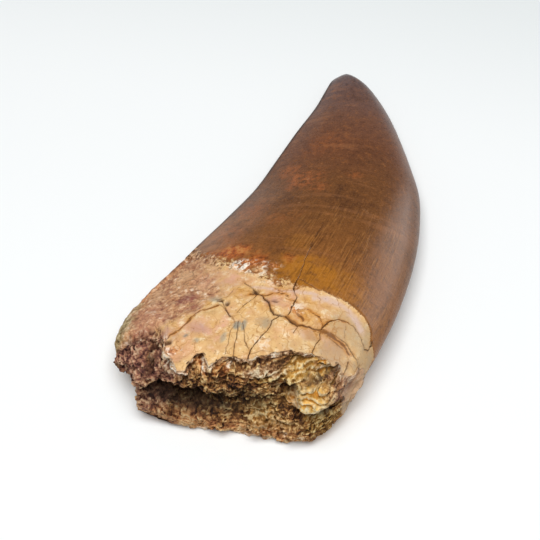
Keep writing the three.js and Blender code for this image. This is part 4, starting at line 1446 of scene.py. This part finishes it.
def make_floor():
    """A wide pale floor just under the tooth, painted darker further back as painted shade."""
    signs = ((-1, -1), (1, -1), (1, 1), (-1, 1))
    corners = [(FLOOR_HALF_WIDTH * x, FLOOR_HALF_WIDTH * y, 0.0) for x, y in signs]
    mesh = bpy.data.meshes.new("floor")
    mesh.from_pydata(corners, [], [(0, 1, 2, 3)])
    floor = bpy.data.objects.new("floor", mesh)
    bpy.context.scene.collection.objects.link(floor)
    material = bpy.data.materials.new("pale_floor")
    material.use_nodes = True
    sheet = NodeSheet(material)
    surface = sheet.nodes["Principled BSDF"]
    place = sheet.add("ShaderNodeTexCoord").outputs["Object"]
    # painted shade: the floor darkens further back
    shade_falloff = sheet.span(sheet.part(place, "Y"), *FLOOR_SHADE_FADE)
    surface.inputs["Roughness"].default_value = FLOOR_ROUGHNESS
    sheet.join(surface.inputs["Base Color"], sheet.blend(shade_falloff, *FLOOR_TINTS))
    mesh.materials.append(material)


def make_light(name, power, place, target, size, only_gloss=False):
    """A soft square lamp at place, facing target, in metres and watts; it may light only the gloss."""
    lamp = bpy.data.lights.new(name, "AREA")
    lamp.shape = "SQUARE"
    lamp.size = size
    lamp.energy = power
    holder = bpy.data.objects.new(name, lamp)
    holder.location = place
    holder.rotation_euler = (Vector(target) - Vector(place)).to_track_quat("-Z", "Y").to_euler()
    holder.visible_diffuse = not only_gloss
    bpy.context.scene.collection.objects.link(holder)


def make_camera():
    """The camera, above the broken end and a little to its right."""
    turn, lift = math.radians(CAMERA_AZIMUTH), math.radians(CAMERA_ELEVATION)
    back = Vector((math.sin(turn) * math.cos(lift), -math.cos(turn) * math.cos(lift), math.sin(lift)))
    camera = bpy.data.objects.new("camera", bpy.data.cameras.new("camera"))
    camera.location = (Vector(CAMERA_TARGET) + back * CAMERA_DISTANCE) * MM
    camera.rotation_euler = (math.radians(90.0) - lift, 0.0, turn)
    camera.data.sensor_width = CAMERA_SENSOR
    camera.data.lens = CAMERA_LENS
    camera.data.clip_start = CAMERA_NEAREST
    bpy.context.scene.collection.objects.link(camera)
    bpy.context.scene.camera = camera


# ---- settings, operators and panel --------------------------------------------------------


def colour_setting(name, description, code):
    """A colour of the tooth that a user may change."""
    return bpy.props.FloatVectorProperty(
        name=name, description=description, default=tint(code), size=4, min=0.0, max=1.0, subtype="COLOR")


def length_setting(name, description, millimetres):
    """A length of the tooth that a user may change."""
    return bpy.props.FloatProperty(
        name=name, description=description, default=millimetres * MM, unit="LENGTH", precision=5)


class ToothLook(bpy.types.PropertyGroup):
    """Sizes, colours and finish of the fossil tooth."""

    ledge_depth: length_setting("Enamel ledge", "How far the enamel stands above the root", 0.25)
    grain_size: length_setting("Grain size", "Width of the grains on the broken end", 1.0)
    grain_height: length_setting("Grain height", "Height of the grains on the broken end", 0.45)
    crumb_size: length_setting("Crumb size", "Half width of the largest grains", 0.30)
    crumbs: bpy.props.FloatProperty(
        name="Crumbs", description="Loose grains on each square millimetre of the broken end",
        default=1.4, min=0.0)
    crack_depth: bpy.props.FloatProperty(
        name="Crack depth", description="Share of each crack's own depth",
        default=1.0, min=0.0, max=2.0, subtype="FACTOR")
    enamel_tint: colour_setting("Enamel", "Enamel in the middle of the crown", "6b4222")
    amber_tint: colour_setting("Amber", "Enamel beside the root", "b0701c")
    tip_tint: colour_setting("Tip", "Enamel at the tip", "665c5e")
    dentine_tint: colour_setting("Dentine", "Smooth root", "e5bb80")
    root_tint: colour_setting("Rough root", "Rough part of the root", "d0986e")
    break_tint: colour_setting("Break", "Grains of the broken end", "906036")
    knob_tint: colour_setting("Knob", "Golden knob of the broken end", "fab850")
    crack_tint: colour_setting("Cracks", "Bottom of the cracks", "40240f")
    enamel_roughness: bpy.props.FloatProperty(
        name="Enamel roughness", description="How dull the enamel's gloss is", default=0.30, min=0.0, max=1.0,
        subtype="FACTOR")


class StageLook(bpy.types.PropertyGroup):
    """Light of the stage."""

    sky: bpy.props.FloatProperty(name="Sky", description="Strength of the light from all round", default=0.22)
    panel: bpy.props.FloatProperty(
        name="Panel", description="Power of the large lamp overhead", default=3.2, unit="POWER")
    flank: bpy.props.FloatProperty(
        name="Flank", description="Power of the lamp beside the curved front edge", default=2.3, unit="POWER")


class FOSSIL_OT_tooth(bpy.types.Operator):
    """Build the fossil tooth"""

    bl_idname = "fossil.tooth"
    bl_label = "Build tooth"

    def execute(self, context):
        look = context.scene.fossil_tooth
        tooth = bpy.data.objects.new(PIECE_NAME, tooth_mesh(look))
        context.scene.collection.objects.link(tooth)
        material = make_tooth_material(look)
        tooth.data.materials.append(material)
        strew_crumbs(tooth, look, material)
        hold_in_box(tooth.data)
        count = len(tooth.data.polygons)
        if count >= MOST_FACES:
            raise RuntimeError(f"The tooth has {count} faces")
        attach(tooth, "root")
        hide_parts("tooth")
        return {"FINISHED"}


class FOSSIL_OT_stage(bpy.types.Operator):
    """Build the floor, lights and camera"""

    bl_idname = "fossil.stage"
    bl_label = "Build stage"

    def execute(self, context):
        look = context.scene.fossil_stage
        make_floor()
        world = bpy.data.worlds.new("pale_sky")
        world.use_nodes = True
        sky = world.node_tree.nodes["Background"]
        sky.inputs["Color"].default_value = SKY_TINT
        sky.inputs["Strength"].default_value = look.sky
        context.scene.world = world
        make_light("panel", look.panel, *PANEL)
        make_light("flank", look.flank, *FLANK, only_gloss=True)
        make_camera()
        context.scene.view_settings.view_transform = "Standard"
        return {"FINISHED"}


class FOSSIL_PT_panel(bpy.types.Panel):
    """Fossil tooth settings and buttons"""

    bl_label = "Fossil tooth"
    bl_idname = "FOSSIL_PT_panel"
    bl_space_type = "VIEW_3D"
    bl_region_type = "UI"
    bl_category = "Fossil tooth"

    def draw(self, context):
        for group in (context.scene.fossil_tooth, context.scene.fossil_stage):
            for name in group.__annotations__:
                self.layout.prop(group, name)
        self.layout.operator(FOSSIL_OT_tooth.bl_idname)
        self.layout.operator(FOSSIL_OT_stage.bl_idname)


CLASSES = (ToothLook, StageLook, FOSSIL_OT_tooth, FOSSIL_OT_stage, FOSSIL_PT_panel)


def register():
    """Adds the settings, operators and panel."""
    for one in CLASSES:
        bpy.utils.register_class(one)
    bpy.types.Scene.fossil_tooth = bpy.props.PointerProperty(type=ToothLook)
    bpy.types.Scene.fossil_stage = bpy.props.PointerProperty(type=StageLook)


def unregister():
    """Takes them away again."""
    del bpy.types.Scene.fossil_stage
    del bpy.types.Scene.fossil_tooth
    for one in reversed(CLASSES):
        bpy.utils.unregister_class(one)


def main():
    """Builds the tooth and its stage."""
    register()
    bpy.ops.fossil.stage()
    bpy.ops.fossil.tooth()


if __name__ == "__main__":
    main()
